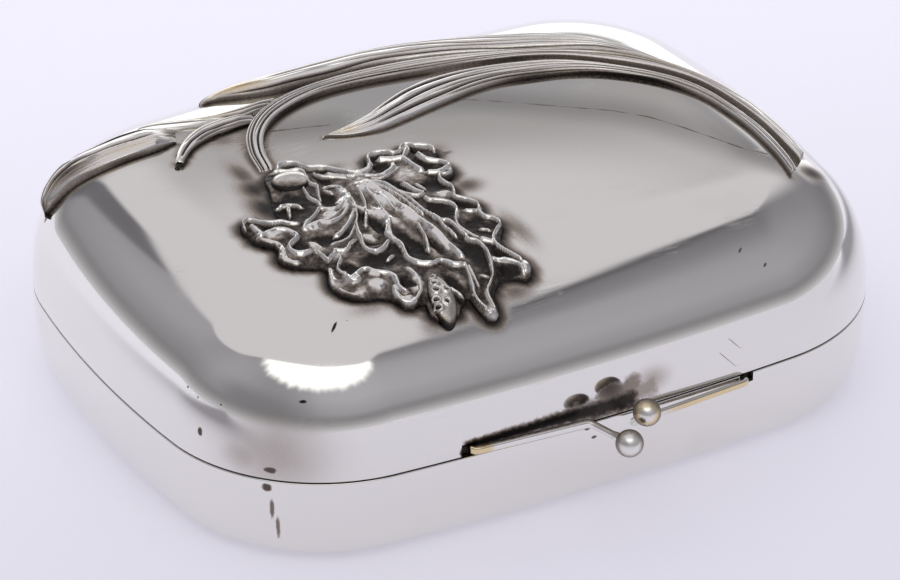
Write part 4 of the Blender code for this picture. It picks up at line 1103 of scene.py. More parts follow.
def soft_band(name, node, body, look, ring_at, seed):
    """Velvet band whose closed section follows ring_at(up, through), both from 0 to 1."""
    section = squared_circle(3.2, 40) / 2 + 0.5
    rings = np.array([ring_at(up, through) for through, up in section])
    swell = 0.92 + 0.06 * grain((1, rings.shape[1]), (0, 3.0), seed)[0]
    thin = np.array([ring_at(up, 0.5) for _, up in section])
    rings = thin + (rings - thin) * swell[None, :, None]
    mesh = grow_rings(rings, closed=True)
    piece = finish_piece(name, mesh, look, body, [node], smooth_angle=None)
    return piece


def swell_cloth(piece, pressure, cap):
    """Blows a closed pad up as cloth, then keeps every point within a cap of where it was."""
    scene = bpy.context.scene
    start = np.array([vert.co for vert in piece.data.vertices])
    cloth = piece.modifiers.new("swell", 'CLOTH')
    cloth.settings.use_pressure = True
    cloth.settings.uniform_pressure_force = pressure
    cloth.settings.effector_weights.gravity = 0
    cloth.settings.quality = 5
    cloth.settings.mass = 0.2
    cloth.collision_settings.use_collision = False
    cloth.point_cache.frame_start, cloth.point_cache.frame_end = 1, 20
    for number in range(1, 21):
        scene.frame_set(number)
    shaped = piece.evaluated_get(bpy.context.evaluated_depsgraph_get())
    end = np.array([vert.co for vert in shaped.data.vertices])
    piece.modifiers.remove(cloth)
    scene.frame_set(1)
    move = end - start
    span = np.linalg.norm(move, axis=1)[:, None] + 1e-12
    kept = start + move / span * cap * np.tanh(span / cap)
    piece.data.vertices.foreach_set("co", kept.ravel())
    piece.data.update()


def build_pad(name, node, body, look, inset, height, way, seed):
    """Crowned velvet pad with drawn-in sides and a faint settling of its filling."""
    lining = settings().lining
    form = BodyForm(settings().body, side_steps=(10, 16, 12))
    rings = []
    for turn in np.linspace(-0.45, 0.5, 12) * math.pi:
        draw = lining.pad_draw_in * (1 - math.cos(turn) ** 0.7)
        draw *= 1.0 if turn < 0 else 0.5
        rise = lining.pad_thickness / 2 * (1 + math.sin(turn))
        rings.append(form.ring(inset + 0.0003 + draw, height + way * rise))
    edge = rings[-1]
    for part in np.linspace(0.96, 0.04, 24):
        lift = lining.pad_thickness + lining.pad_crown * (1 - part ** 2) * 0.75
        rings.append(np.column_stack((edge[:, :2] * part, np.full(len(edge), height + way * lift))))
    back = [np.column_stack((rings[0][:, :2] * part, rings[0][:, 2])) for part in np.linspace(0.1, 0.95, 8)]
    mesh = grow_rings(back + rings)
    piece = finish_piece(name, mesh, look, body, [node], smooth_angle=None)
    swell_cloth(piece, 4.0, 0.0006)
    smooth = piece.modifiers.new("smooth", 'SUBSURF')
    smooth.levels = smooth.render_levels = 1
    return piece


class TRINKET_OT_lining(Operator):
    """Fits the inner lip and lays the velvet bands and pads"""
    bl_idname = "trinket.lining"
    bl_label = "Lining"

    def execute(self, context):
        lining = settings().lining
        form = BodyForm(settings().body)
        section = squared_circle(5.0, 24) / 2 + 0.5
        lip = [form.ring(lining.lip_inset + lining.lip_thickness * through,
                         lining.lip_low + (lining.lip_high - lining.lip_low) * up) for through, up in section]
        finish_piece("inner_lip", grow_rings(lip, closed=True), silver_material("lip_silver", LIP_NOTCH_SHADE),
                     "base", ["base_bezel"])
        velvet = velvet_material("velvet")

        def base_band(up, through):
            return form.ring(lining.band_inset + lining.band_thickness * through,
                             lining.band_low + (lining.band_high - lining.band_low) * up)

        def lid_band(up, through):
            turn = math.pi / 2 * (lining.lid_band_start + (lining.lid_band_end - lining.lid_band_start) * up)
            return form.lid_ring(turn, lining.lid_band_depth + lining.band_thickness * through)

        soft_band("base_velvet_band", "base_lining_band", "base", velvet, base_band, 31)
        soft_band("lid_velvet_band", "lid_lining_band", "lid", velvet, lid_band, 32)
        build_pad("base_velvet_pad", "base_floor_pad", "base", velvet, lining.base_pad_inset,
                  lining.base_pad_height, 1, 33)
        build_pad("lid_velvet_pad", "lid_pad", "lid", velvet, lining.lid_pad_inset, lining.lid_pad_height, -1,
                  34)
        return {'FINISHED'}


class TRINKET_OT_small_parts(Operator):
    """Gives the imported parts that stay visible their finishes"""
    bl_idname = "trinket.small_parts"
    bl_label = "Small Parts"

    def execute(self, context):
        silver = silver_material("part_silver")
        gilt = silver_material("gilt_silver", tint=settings().finish.gilt)
        velvet = velvet_material("velvet")
        steel = steel_material("pin_steel_drawn")
        for name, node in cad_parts.items():
            look = silver
            if "ball" in name:
                look = gilt
            if "pad" in name or "lining" in name:
                look = velvet
            if name == "hinge_pin":
                look = steel
            node.data.materials.clear()
            node.data.materials.append(look)
        return {'FINISHED'}


# Relief, traced over the rolled-out lid

def traced(*tenths, columns=2):
    """Places in millimetres, row by row, from numbers in tenths of one."""
    return np.array(tenths).reshape(-1, columns) / 10


# Edges of each long piece from its root to its tip: a place on the first edge and one on the second
MAIN_STEM_EDGES = traced(-344, 112, -315, 110, -333, 185, -299, 178, -305, 252, -268, 239, -258, 309, -219, 286,
    -197, 349, -156, 317, -126, 373, -88, 331, -52, 383, -18, 330, 23, 383, 52, 321, 98, 374, 121, 311, 170, 356,
    191, 301, 241, 330, 260, 287, 311, 303, 328, 268, 382, 278, 390, 238, 450, 247, 445, 195, 506, 201, 494, 145,
    551, 141, 540, 92, 589, 76, 576, 34, 622, 9, 596, -32, 643, -62, 605, -102, 647, -135, 605, -172, 637, -210,
    599, -243, 620, -283, 591, -313, columns=4)
UPPER_LEAF_EDGES = traced(-306, 456, -303, 451, -275, 482, -272, 445, -230, 493, -222, 412, -180, 495, -173, 395,
    -120, 495, -112, 392, -50, 495, -45, 389, 20, 492, 20, 388, 90, 486, 80, 382, 150, 473, 130, 372, 210, 447,
    180, 359, 270, 415, 240, 337, 330, 386, 300, 313, 395, 354, 370, 289, 460, 304, 440, 258, 510, 242, 490, 222,
    550, 165, 536, 161, 575, 115, 570, 113, columns=4)
MIDDLE_LEAF_EDGES = traced(-189, 170, -183, 182, -126, 184, -133, 150, -66, 205, -75, 139, -9, 237, -14, 149, 49,
    267, 47, 164, 111, 282, 108, 179, 175, 283, 169, 194, 240, 273, 229, 199, 303, 258, 289, 190, 363, 235, 349,
    177, 416, 198, 406, 154, 462, 153, 455, 116, 506, 103, 498, 70, 544, 51, 530, 17, 569, -7, 551, -41, 582,
    -70, 560, -104, 588, -136, 564, -167, 587, -201, 561, -230, 579, -266, 554, -293, 568, -331, 545, -355,
    columns=4)
LEFT_STEM_EDGES = traced(-175, 372, -213, 344, -212, 367, -244, 330, -249, 362, -276, 325, -286, 358, -307, 332,
    -323, 356, -339, 346, -359, 360, -371, 357, -393, 372, -403, 370, -427, 387, -434, 385, -461, 403, -464, 403,
    columns=4)
TENDRIL_EDGES = traced(-242, 337, -264, 296, -277, 339, -291, 294, -311, 339, -318, 291, -345, 335, -344, 288,
    -377, 323, -370, 281, -405, 304, -395, 270, -430, 280, -417, 255, -452, 253, -436, 236, -471, 225, -454, 216,
    columns=4)
BUD_EDGES = traced(-405, 349, -424, 303, -438, 368, -450, 297, -473, 381, -476, 293, -510, 387, -502, 292, -547,
    392, -528, 293, -581, 406, -554, 295, -609, 430, -580, 299, -634, 453, -605, 306, -660, 456, -629, 316, -683,
    434, -653, 325, -700, 401, -678, 332, -712, 365, -702, 342, -723, 329, -725, 355, columns=4)

LEAF_OUTLINE = traced(-343, 93, -323, 106, -305, 111, -286, 109, -272, 96, -265, 76, -245, 64, -230, 52, -218,
    30, -202, 13, -185, 8, -173, 13, -166, 26, -159, 46, -143, 57, -123, 56, -109, 46, -99, 39, -90, 49, -75, 58,
    -62, 55, -50, 42, -33, 32, -21, 16, -22, -2, -36, -16, -39, -28, -30, -43, -27, -60, -30, -80, -42, -92, -58,
    -94, -63, -103, -60, -120, -57, -132, -64, -150, -70, -162, -60, -172, -48, -188, -44, -203, -48, -220, -55,
    -235, -53, -245, -42, -258, -39, -275, -44, -293, -58, -310, -70, -328, -76, -345, -74, -363, -66, -385, -60,
    -405, -60, -425, -70, -443, -86, -448, -98, -438, -120, -432, -134, -436, -150, -450, -160, -465, -164, -485,
    -168, -503, -180, -512, -194, -506, -202, -490, -206, -470, -208, -450, -216, -460, -229, -465, -240, -480,
    -285, -475, -294, -460, -290, -435, -298, -433, -313, -438, -330, -430, -337, -410, -345, -400, -360, -390,
    -385, -384, -405, -372, -420, -353, -426, -330, -423, -308, -412, -285, -405, -265, -410, -252, -430, -240,
    -448, -228, -463, -208, -465, -188, -452, -165, -450, -145, -465, -128, -476, -108, -472, -85, -476, -65,
    -468, -43, -450, -34, -434, -43, -422, -60, -405, -72, -394, -66, -393, -35, -386, -10, -374, 15, -364, 40,
    -359, 65, -352, 83)

# Ridges of the leaf: half width, height, and the line along the crest
LEAF_RIDGES = [
    (0.55, 1.8, traced(-319, 93, -310, 103, -298, 105, -285, 100, -276, 88, -272, 76, -268, 66, -255, 59, -240,
        51, -228, 33, -213, 13, -200, 4, -185, 1, -172, 4, -164, 12, -159, 24, -154, 39, -142, 49, -126, 48,
        -113, 38, -104, 28, -92, 29, -83, 40, -73, 49, -64, 47, -55, 36, -45, 31, -35, 22, -29, 10, -31, 0)),
    (0.45, 1.5, traced(-335, 88, -315, 84, -304, 76, -290, 72, -282, 63, -283, 50, -288, 30, -290, 10, -285, -5,
        -293, -25, -299, -40, -304, -58)),
    (0.4, 1.4, traced(-268, 50, -267, 35, -260, 22, -245, 12, -230, 0, -218, -10)),
    (0.35, 1.6, traced(-254, 28, -240, 15, -222, 1, -205, -8, -185, -7, -172, -2, -162, 7, -155, 20)),
    (0.35, 1.3, traced(-283, -12, -272, -16, -263, -16, -253, -24, -250, -35, -252, -46)),
    (0.3, 1.2, traced(-281, -16, -277, -32, -269, -46)),
    (0.4, 1.4, traced(-308, 12, -313, -15, -316, -35, -312, -50, -309, -72)),
    (0.55, 1.8, traced(-370, -106, -358, -109, -346, -102, -330, -90, -319, -80, -305, -92, -290, -96, -275, -89,
        -264, -78, -256, -65, -251, -50)),
    (0.45, 1.5, traced(-335, -112, -325, -120, -310, -120, -295, -110, -278, -99, -264, -87, -250, -68, -246, -52)),
    (0.75, 1.5, traced(-374, -133, -341, -126, -324, -132, -298, -125, -271, -100, -257, -68, -258, -42)),
    (0.6, 1.2, traced(-246, -66, -258, -100, -281, -135, -313, -164, -342, -179)),
    (0.4, 1.3, traced(-384, -31, -370, -32, -360, -33, -350, -42, -341, -57)),
    (0.4, 1.3, traced(-362, -35, -368, -50, -373, -63, -378, -74)),
    (0.45, 1.6, traced(-470, -74, -468, -56, -460, -46, -450, -43, -442, -50, -433, -63, -420, -76, -403, -82,
        -393, -92, -382, -102, -370, -106)),
    (0.75, 1.2, traced(-454, -56, -452, -80, -453, -100, -462, -112)),
    (0.6, 1.8, traced(-465, -109, -440, -107, -424, -106, -410, -112, -402, -125, -400, -140, -406, -151, -420,
        -160, -430, -170, -432, -185, -426, -200, -410, -204, -394, -203)),
    (0.8, 1.15, traced(-467, -114, -455, -126, -443, -140, -440, -160, -448, -180, -454, -196, -448, -212, -432,
        -226)),
    (0.7, 1.5, traced(-382, -136, -365, -126, -345, -123, -328, -124)),
    (0.6, 1.7, traced(-383, -134, -368, -118, -352, -107)),
    (0.4, 0.95, traced(-362, -198, -320, -193, -300, -175, -275, -145, -260, -115, -248, -85)),
    (0.55, 1.8, traced(-394, -203, -392, -220, -390, -246, -380, -240, -370, -235, -363, -224, -354, -231, -342,
        -232, -330, -220, -318, -212, -308, -210)),
    (0.4, 1.4, traced(-362, -238, -368, -255, -380, -268, -387, -282, -385, -296, -376, -306)),
    (0.75, 1.1, traced(-396, -266, -410, -295, -415, -320)),
    (0.6, 1.9, traced(-393, -304, -385, -316, -388, -327, -380, -335, -372, -332, -370, -318, -360, -311, -350,
        -307, -342, -311, -338, -320, -328, -330, -316, -340, -310, -352, -313, -370, -317, -385, -312, -398,
        -304, -404)),
    (0.8, 1.5, traced(-348, -318, -338, -332, -326, -344)),
    (0.45, 1.1, traced(-416, -333, -413, -350, -403, -365, -386, -376)),
    (0.6, 1.3, traced(-322, -370, -328, -395, -326, -416, -312, -426, -300, -421, -286, -409, -278, -395, -272,
        -370, -271, -350, -278, -333)),
    (0.55, 1.6, traced(-278, -146, -293, -182, -299, -206, -306, -225, -308, -245, -298, -261, -283, -259, -268,
        -247, -256, -236)),
    (0.6, 1.8, traced(-229, -176, -243, -203, -252, -220, -249, -240, -247, -265, -253, -290, -257, -310, -253,
        -328, -242, -342, -225, -348, -209, -345, -200, -355, -193, -368, -180, -373, -176, -366)),
    (0.4, 0.9, traced(-296, -296, -270, -284)),
    (0.65, 1.9, traced(-145, 23, -130, 18, -120, 12, -110, 7, -100, 3, -96, -10, -93, -30, -90, -50, -87, -62)),
    (0.65, 1.8, traced(-100, 4, -92, 10, -83, 20, -76, 30, -72, 44)),
    (0.6, 1.4, traced(-195, -10, -180, -23, -165, -28, -150, -26, -135, -20, -126, -10, -121, 4)),
    (0.4, 1.3, traced(-190, -26, -168, -39, -150, -37, -130, -29, -116, -19)),
    (0.6, 1.7, traced(-63, 12, -64, -5, -60, -20, -50, -30, -40, -40, -34, -55, -37, -66, -48, -70, -62, -72,
        -75, -67, -87, -63)),
    (0.45, 1.4, traced(-35, -68, -40, -80, -50, -84, -63, -81, -69, -89, -72, -98, -70, -112, -64, -125, -68,
        -140, -74, -155, -78, -163, -68, -175, -58, -188, -52, -200, -56, -216, -63, -230, -62, -248, -52, -260,
        -47, -273, -50, -286, -63, -298, -78, -313, -88, -330, -89, -350, -82, -370, -74, -390, -69, -406)),
    (0.5, 1.7, traced(-186, -38, -181, -50, -175, -66, -170, -85, -163, -98, -156, -112, -148, -126, -136, -133,
        -126, -130, -129, -120, -135, -105, -139, -88, -145, -74)),
    (0.35, 1.1, traced(-122, -86, -116, -105, -112, -122)),
    (0.5, 1.6, traced(-127, -134, -128, -148, -120, -158, -108, -168, -98, -180, -94, -193, -98, -207, -108,
        -223, -116, -238)),
    (0.6, 1.75, traced(-207, -35, -193, -73, -186, -125, -180, -182, -172, -218, -169, -259, -168, -302, -168,
        -336, -167, -359)),
    (0.4, 1.75, traced(-214, -17, -182, -53, -168, -88, -159, -133, -153, -184, -145, -223, -147, -250, -144,
        -295)),
    (0.35, 1.8, traced(-208, -26, -183, -70, -172, -110, -166, -155, -162, -200)),
    (0.55, 1.65, traced(-213, -60, -213, -94, -220, -138, -225, -175, -242, -213, -253, -245)),
    (0.45, 1.55, traced(-222, -44, -228, -74, -239, -111, -262, -156, -276, -182)),
    (0.35, 1.75, traced(-204, -80, -200, -120, -198, -165)),
    (0.5, 1.8, traced(-186, -214, -190, -240, -196, -266, -208, -296, -212, -310)),
    (0.5, 1.7, traced(-152, -206, -143, -224, -133, -233, -129, -245, -128, -270, -126, -290, -130, -308, -120,
        -320, -115, -335, -117, -355, -123, -375, -132, -400, -140, -418, -153, -433, -168, -448, -173, -460,
        -174, -480, -177, -494)),
    (0.5, 1.5, traced(-122, -375, -112, -388, -98, -393, -86, -403, -80, -415, -84, -434)),
    (0.75, 1.3, traced(-73, -408, -73, -423, -82, -436)),
    (0.4, 1.1, traced(-98, -207, -110, -225, -118, -242, -120, -260, -117, -280, -112, -300, -105, -313)),
    (0.6, 1.4, traced(-110, -310, -103, -322, -94, -333, -89, -344)),
    (0.5, 1.4, traced(-89, -212, -76, -223, -64, -224)),
    (0.35, 1.0, traced(-96, -280, -83, -290, -74, -303)),
    (0.45, 1.6, traced(-172, -368, -176, -385, -183, -410, -189, -430, -196, -450, -194, -470, -186, -490)),
    (0.35, 1.3, traced(-168, -375, -175, -410, -180, -440)),
    (0.9, 1.2, traced(-186, -486, -181, -500)),
    (0.5, 0.9, traced(-232, -414, -223, -430, -217, -448)),
    (0.4, 1.0, traced(-165, -408, -152, -418, -144, -422)),
]

# Height that the numbers of the leaf's ridges add up to
LEAF_TRACE_HEIGHT = 2.2 * MM

# Low rounded forms of the leaf: centre, radii, turn in degrees, height and how far they are rubbed bright
LEAF_PLATES = [
    ((-11.6, -4.0), (2.8, 3.8), 12, 1.15, 0.62), ((-9.0, -14.6), (1.9, 1.5), 0, 1.35, 0.7),
    ((-43.2, -11.6), (2.4, 1.4), 0, 1.55, 0.75), ((-31.0, -10.8), (2.6, 2.0), 0, 1.55, 0.75),
    ((-27.0, -8.0), (1.9, 3.4), -35, 1.45, 0.7), ((-25.2, -4.4), (1.2, 2.6), 0, 1.35, 0.55),
    ((-35.0, -12.9), (3.2, 1.6), 12, 1.35, 0.7), ((-37.9, -32.4), (2.2, 1.7), 0, 1.65, 0.85),
    ((-34.6, -35.4), (2.6, 2.6), 30, 1.4, 0.55), ((-20.6, -5.6), (2.6, 4.0), 10, 1.85, 1.0),
    ((-19.6, -11.0), (2.6, 4.4), 5, 1.9, 1.0), ((-18.2, -17.5), (2.0, 5.0), 4, 1.85, 1.0),
    ((-22.6, -15.5), (1.4, 5.0), 14, 1.6, 0.9), ((-24.8, -12.5), (0.9, 5.0), 20, 1.35, 0.7),
    ((-17.2, -26.5), (1.4, 7.0), 0, 1.75, 0.95), ((-38.5, -19.0), (1.6, 3.2), 0, 1.1, 0.5),
    ((-36.6, -24.0), (2.4, 1.1), 5, 1.35, 0.65), ((-33.4, -15.9), (2.8, 1.5), -12, 0.8, 0.3),
    ((-31.6, -41.6), (1.8, 1.5), 0, 1.25, 0.7), ((-45.0, -16.5), (1.7, 4.4), 12, 1.0, 0.55),
    ((-41.2, -30.6), (1.5, 4.2), 10, 1.0, 0.55), ((-38.6, -36.4), (3.0, 1.4), 30, 1.0, 0.45),
    ((-30.0, -14.4), (2.4, 1.2), 60, 0.9, 0.35), ((-6.9, -41.8), (1.4, 2.0), 0, 1.25, 0.6),
    ((-18.0, -49.2), (1.5, 1.8), 0, 1.05, 0.6), ((-19.4, -0.8), (4.2, 1.2), 5, 1.15, 0.6),
    ((-36.0, 3.0), (2.4, 5.5), 0, 0.7, 0.0), ((-6.0, -22.6), (1.8, 1.0), 0, 1.15, 0.6),
    ((-29.0, -21.0), (1.3, 3.4), 34, 1.3, 0.55), ((-28.8, -40.0), (2.2, 1.2), -40, 1.1, 0.5),
]

# Hollows of the leaf: centre, radii and depth
LEAF_CELLS = [
    ((-29.3, 8.5), (1.3, 1.1), 0.7), ((-24.8, 3.6), (1.9, 0.8), 0.7), ((-26.3, 1.8), (1.1, 3.3), 0.5),
    ((-28.7, -6.3), (1.7, 3.0), 0.7), ((-42.0, -8.8), (2.6, 1.5), 0.7), ((-13.0, 3.0), (1.6, 1.0), 0.7),
    ((-15.0, -0.5), (2.5, 1.2), 0.6), ((-7.3, -3.5), (1.7, 3.0), 0.6), ((-6.2, 2.7), (1.2, 1.2), 0.7),
    ((-15.5, -8.0), (1.2, 3.2), 0.6), ((-9.5, -10.5), (2.5, 2.5), 0.6), ((-12.8, -19.5), (2.4, 3.3), 0.6),
    ((-7.5, -19.5), (1.5, 2.5), 0.6), ((-36.5, -28.8), (1.9, 2.0), 0.7), ((-28.2, -22.8), (1.6, 1.3), 0.6),
    ((-22.9, -28.0), (1.7, 5.2), 0.9), ((-25.4, -18.6), (0.9, 3.2), 0.7), ((-18.9, -29.5), (0.9, 3.5), 0.6),
    ((-29.7, -38.0), (1.3, 2.4), 0.7), ((-9.0, -27.0), (2.6, 3.0), 0.5), ((-10.5, -41.7), (2.0, 1.6), 0.6),
    ((-9.7, -37.0), (1.3, 2.5), 0.6), ((-14.0, -35.0), (2.0, 5.0), 0.6), ((-36.5, -17.8), (6.5, 2.0), 0.7),
    ((-31.0, -29.0), (4.5, 3.0), 0.6), ((-36.0, -3.5), (4.0, 5.5), 0.6), ((-26.5, -12.5), (1.2, 4.5), 0.6),
    ((-22.0, -42.5), (1.4, 4.0), 0.6), ((-25.6, -27.0), (3.5, 3.5), 0.3),
]

# Darkened places of the lid beside the relief, partly tarnish and partly painted shade: centre, radii and strength
LID_SHADE_AND_TARNISH = [
    ((-39.5, -1.0), (3.2, 6.5), 1.0), ((-38.0, 6.5), (3.2, 5.0), 0.95), ((-37.5, 13.0), (2.2, 6.0), 0.8),
    ((-43.5, -3.5), (2.5, 2.5), 0.5), ((-3.0, -12.5), (3.2, 2.6), 0.75), ((-2.0, -30.0), (2.2, 7.0), 0.55),
    ((-11.5, -46.0), (4.0, 2.4), 0.6), ((-29.0, -47.5), (3.0, 3.0), 0.5), ((-38.0, -40.0), (5.0, 2.4), 0.45),
    ((-34.0, 26.5), (4.0, 3.0), 0.55), ((-30.5, 21.0), (2.6, 6.0), 0.55), ((61.0, -33.5), (3.0, 2.4), 0.9),
    ((-1.0, 2.5), (2.4, 2.6), 0.5), ((-22.0, 6.0), (3.0, 1.8), 0.6),
]


def drawn_line(line, detail=5):
    """Smooth line through traced places, with so many steps between two of them."""
    return spline(line, np.linspace(0, 1, detail * (len(line) - 1) + 1))


def carve(places, body, ridges, plates, ruffle=0.05):
    """Height in millimetres of a carved sheet at places of its plan, and how far it is rubbed."""
    total = body ** 6
    rubbed = np.zeros(len(places))
    for centre, radii, turn, crest, worn in plates:
        along, aside = turned(places - np.array(centre), turn, radii)
        near = np.exp(-(along ** 2 + aside ** 2) ** 1.5)
        total += (crest * near) ** 6
        rubbed = np.maximum(rubbed, worn * near)
    for number, (half_width, crest, line) in enumerate(ridges):
        drawn = drawn_line(line)
        half_width *= 0.8 if half_width < 0.58 else 1.0
        reach = 4.5 * half_width
        near = np.all((places > drawn.min(0) - reach) & (places < drawn.max(0) + reach), axis=1)
        away, run = line_distance(places[near], drawn)
        span = np.hypot(*np.diff(drawn, axis=0).T).sum()
        wave = 1 + ruffle * np.sin(run * span * 0.9 + number * GOLDEN_TURN)
        half_width = half_width * (1 + 0.22 * np.sin(run * span * 0.7 + 2 * number * GOLDEN_TURN))
        fade = smooth_step(0, 0.9, run * span) * smooth_step(0, 0.9, (1 - run) * span)
        wave = wave * (0.62 + 0.38 * fade)
        half_width = half_width * (0.65 + 0.35 * fade)
        rise = 0.55 + 0.72 * crest
        bell = 0.60 * np.exp(-(away / half_width / 1.15) ** 2) + 0.40 * np.exp(-(away / half_width / 2.6) ** 2)
        total[near] += (rise * wave * bell) ** 6
        worn = 0.50 * fade * np.exp(-(away / half_width / 1.1) ** 4)
        rubbed[near] = np.maximum(rubbed[near], worn)
    return total ** (1 / 6), rubbed


def lay_sheet(name, form, mesh, order, places, heights, marks_and_shade, look, body, replaced):
    """Piece from a bmesh grid whose points are laid over the lid; buried points are dropped."""
    layers = {key: mesh.verts.layers.float.new(key) for key in marks_and_shade}
    points = form.on_lid(places * MM, heights * MM)
    sink = settings().relief.sink / MM
    verts = list(mesh.verts)
    buried = []
    for row, index in enumerate(order):
        vert = verts[index]
        vert.co = points[row]
        for key, values in marks_and_shade.items():
            vert[layers[key]] = values[row]
        if heights[row] < -sink:
            buried.append(vert)
    bmesh.ops.delete(mesh, geom=buried, context='VERTS')
    mesh.normal_update()
    if sum(face.normal.z for face in mesh.faces) < 0:
        bmesh.ops.reverse_faces(mesh, faces=mesh.faces)
    return finish_piece(name, mesh, look, body, replaced, smooth_angle=None, normals=False)


def build_leaf(look, form):
    """Ruffled leaf head: ridges and rounded forms raised over a dark, hollowed ground."""
    relief = settings().relief
    low, high = np.array((-49.0, -52.5)), np.array((-1.0, 12.5))
    step = relief.grain / MM
    count = np.ceil((high - low) / step).astype(int)
    mesh, shares, order, shape = unit_grid(int(count[0]), int(count[1]))
    places = low + shares * (high - low)
    inside = inside_outline(places, LEAF_OUTLINE)
    body = 0.60 + 0.45 * smooth_step(0, 4, inside)
    hollow = np.zeros(len(places))
    for centre, radii, depth in LEAF_CELLS:
        away = (((places - np.array(centre)) / np.array(radii)) ** 2).sum(1)
        hollow = np.maximum(hollow, depth * np.exp(-away ** 1.5))
    body = np.clip(body - 0.9 * hollow, 0.25, None)
    height, rubbed = carve(places, body, LEAF_RIDGES, LEAF_PLATES)
    height += 0.05 * grain(shape, (1.3, 1.3), 5).ravel() + 0.07 * grain(shape, (3.5, 3.5), 6).ravel()
    height *= relief.leaf_height / LEAF_TRACE_HEIGHT
    rel = height - blurred(height.reshape(shape), (5.0, 5.0)).ravel()
    patina_and_shade = 0.86 - 0.9 * smooth_step(-0.12, 0.34, rel) + 0.35 * hollow
    mottle = grain(shape, (1.3, 1.3), 8).ravel()
    speckle = grain(shape, (0.7, 0.7), 9).ravel()
    patina_and_shade = patina_and_shade - rubbed * (0.80 + 0.6 * rel) + (0.08 + 0.12 * rubbed) * mottle + 0.22 * rubbed * speckle
    patina_and_shade = np.maximum(np.clip(patina_and_shade, 0, 1), 0.95 * (1 - smooth_step(0.1, 0.7, inside)))
    sink = relief.sink / MM
    edge = smooth_step(-0.30, 0.35, inside)
    height = height * edge - (sink + 0.1) * (1 - edge)
    return lay_sheet("leaf_relief", form, mesh, order, places, height, {"patina_and_shade": patina_and_shade}, look, "lid",
                     ["leaf_head"])


def build_sheaf(name, node, form, edges, height, grooves, size, look, seed, blunt=0.0, shades=(), warm=(),
                levels=((0, 1), (1, 1)), wall=0.10):
    """Long relief piece between two smooth edges, with wandering grooves along a rounded back."""
    relief = settings().relief
    rows, columns = size
    mesh, grid, order, shape = unit_grid(rows, columns)
    along, across = grid[:, 0], grid[:, 1]
    first = spline(edges[:, :2], along)
    second = spline(edges[:, 2:], along)
    places = first + (second - first) * across[:, None]
    crown = np.sqrt(np.clip(1 - (2 * across - 1) ** 2, 0, 1))
    run = np.minimum(along, (1 - along) if not blunt else (1 - along) * blunt)
    ends = smooth_step(0.0, 0.16, run)
    level = np.interp(along, *np.array(levels).T)
    top = 0.25 + 0.30 * smooth_step(0.0, 0.03, run) + level * (height / MM) * crown * (0.10 + 0.90 * ends)
    dark = np.zeros(len(along))
    for number, (share, depth, width, start, end) in enumerate(grooves):
        phase = seed + number * GOLDEN_TURN
        centre = share + 0.018 * np.sin(along * 11 + phase) + 0.010 * np.sin(along * 31 + 2 * phase)
        live = smooth_step(start - 0.05, start + 0.05, along) * (1 - smooth_step(end - 0.05, end + 0.05, along))
        cut = live * np.exp(-((across - centre) / width) ** 2)
        top -= depth * cut
        dark = np.maximum(dark, cut * min(1.0, 0.35 + 0.9 * depth))
    top += 0.04 * grain(shape, (1.0, 9.0), int(seed * 10)).ravel()
    rel = top - blurred(top.reshape(shape), (columns * 0.10, 0)).ravel()
    streak = grain(shape, (0.8, 14.0), int(seed * 10) + 1).ravel()
    patina_and_shade = 0.14 + 0.13 * streak - 0.9 * rel + 0.80 * dark
    # Darker along both edges: a thin dark line at the far edge, and painted shade on the near side wall over the
    # share given by wall
    patina_and_shade += 0.6 * (1 - smooth_step(0.0, 0.04, across)) + 0.6 * (1 - smooth_step(0.2 * wall, wall, 1 - across))
    for centre, radii, strength in shades:
        patina_and_shade += strength * bell(grid, centre, radii) * (1 + 0.35 * streak)
    gilt = np.zeros(len(along))
    for centre, radii, strength in warm:
        gilt = np.maximum(gilt, strength * bell(grid, centre, radii))
    sides = smooth_step(0.0, 0.05, np.minimum(across, 1 - across))
    sink = relief.sink / MM
    edge = sides * smooth_step(0.0, 0.008, run)
    heights = top * edge - (sink + 0.1) * (1 - edge)
    marks_and_shade = {"patina_and_shade": np.clip(patina_and_shade, 0, 1), "gilt": gilt}
    return lay_sheet(name, form, mesh, order, places, heights, marks_and_shade, look, "lid", [node])


def build_mound(name, node, form, centre, radii, turn, height, look, power=2.0, pits=(), rubbed=0.6,
                shaded=0.0):
    """Small rounded piece of the relief, with pits in its back."""
    reach = 1.25 * max(radii)
    mesh, grid, order, shape = unit_grid(80, 80)
    offset = (grid * 2 - 1) * reach
    along, aside = turned(offset, turn, radii)
    span = np.hypot(along, aside)
    sink = settings().relief.sink / MM
    heights = 0.6 * (1 - smooth_step(0.90, 1.0, span)) + (height - 0.6) * np.sqrt(np.clip(1 - span ** power, 0,
                                                                                          1))
    heights -= (sink + 0.1) * smooth_step(0.94, 1.04, span)
    places = offset + np.array(centre)
    patina_and_shade = (1 - rubbed) + 0.8 * smooth_step(0.72, 1.0, span)
    patina_and_shade += 0.7 * smooth_step(0.05, 0.85, -(0.48 * offset[:, 0] + 0.87 * offset[:, 1]) / max(radii)) * shaded
    patina_and_shade += 0.10 * grain(shape, (2.0, 2.0), 3).ravel()
    for pit, radius in pits:
        away = np.hypot(*(places - np.array(pit)).T)
        rim = np.exp(-((away - radius) / 0.24) ** 2)
        well = 1 - smooth_step(0.45 * radius, 0.95 * radius, away)
        heights = heights + 0.45 * rim - 0.7 * well
        patina_and_shade = np.maximum(patina_and_shade * (1 - rim), well)
    marks_and_shade = {"patina_and_shade": np.clip(patina_and_shade, 0, 1)}
    return lay_sheet(name, form, mesh, order, places, heights, marks_and_shade, look, "lid", [node])


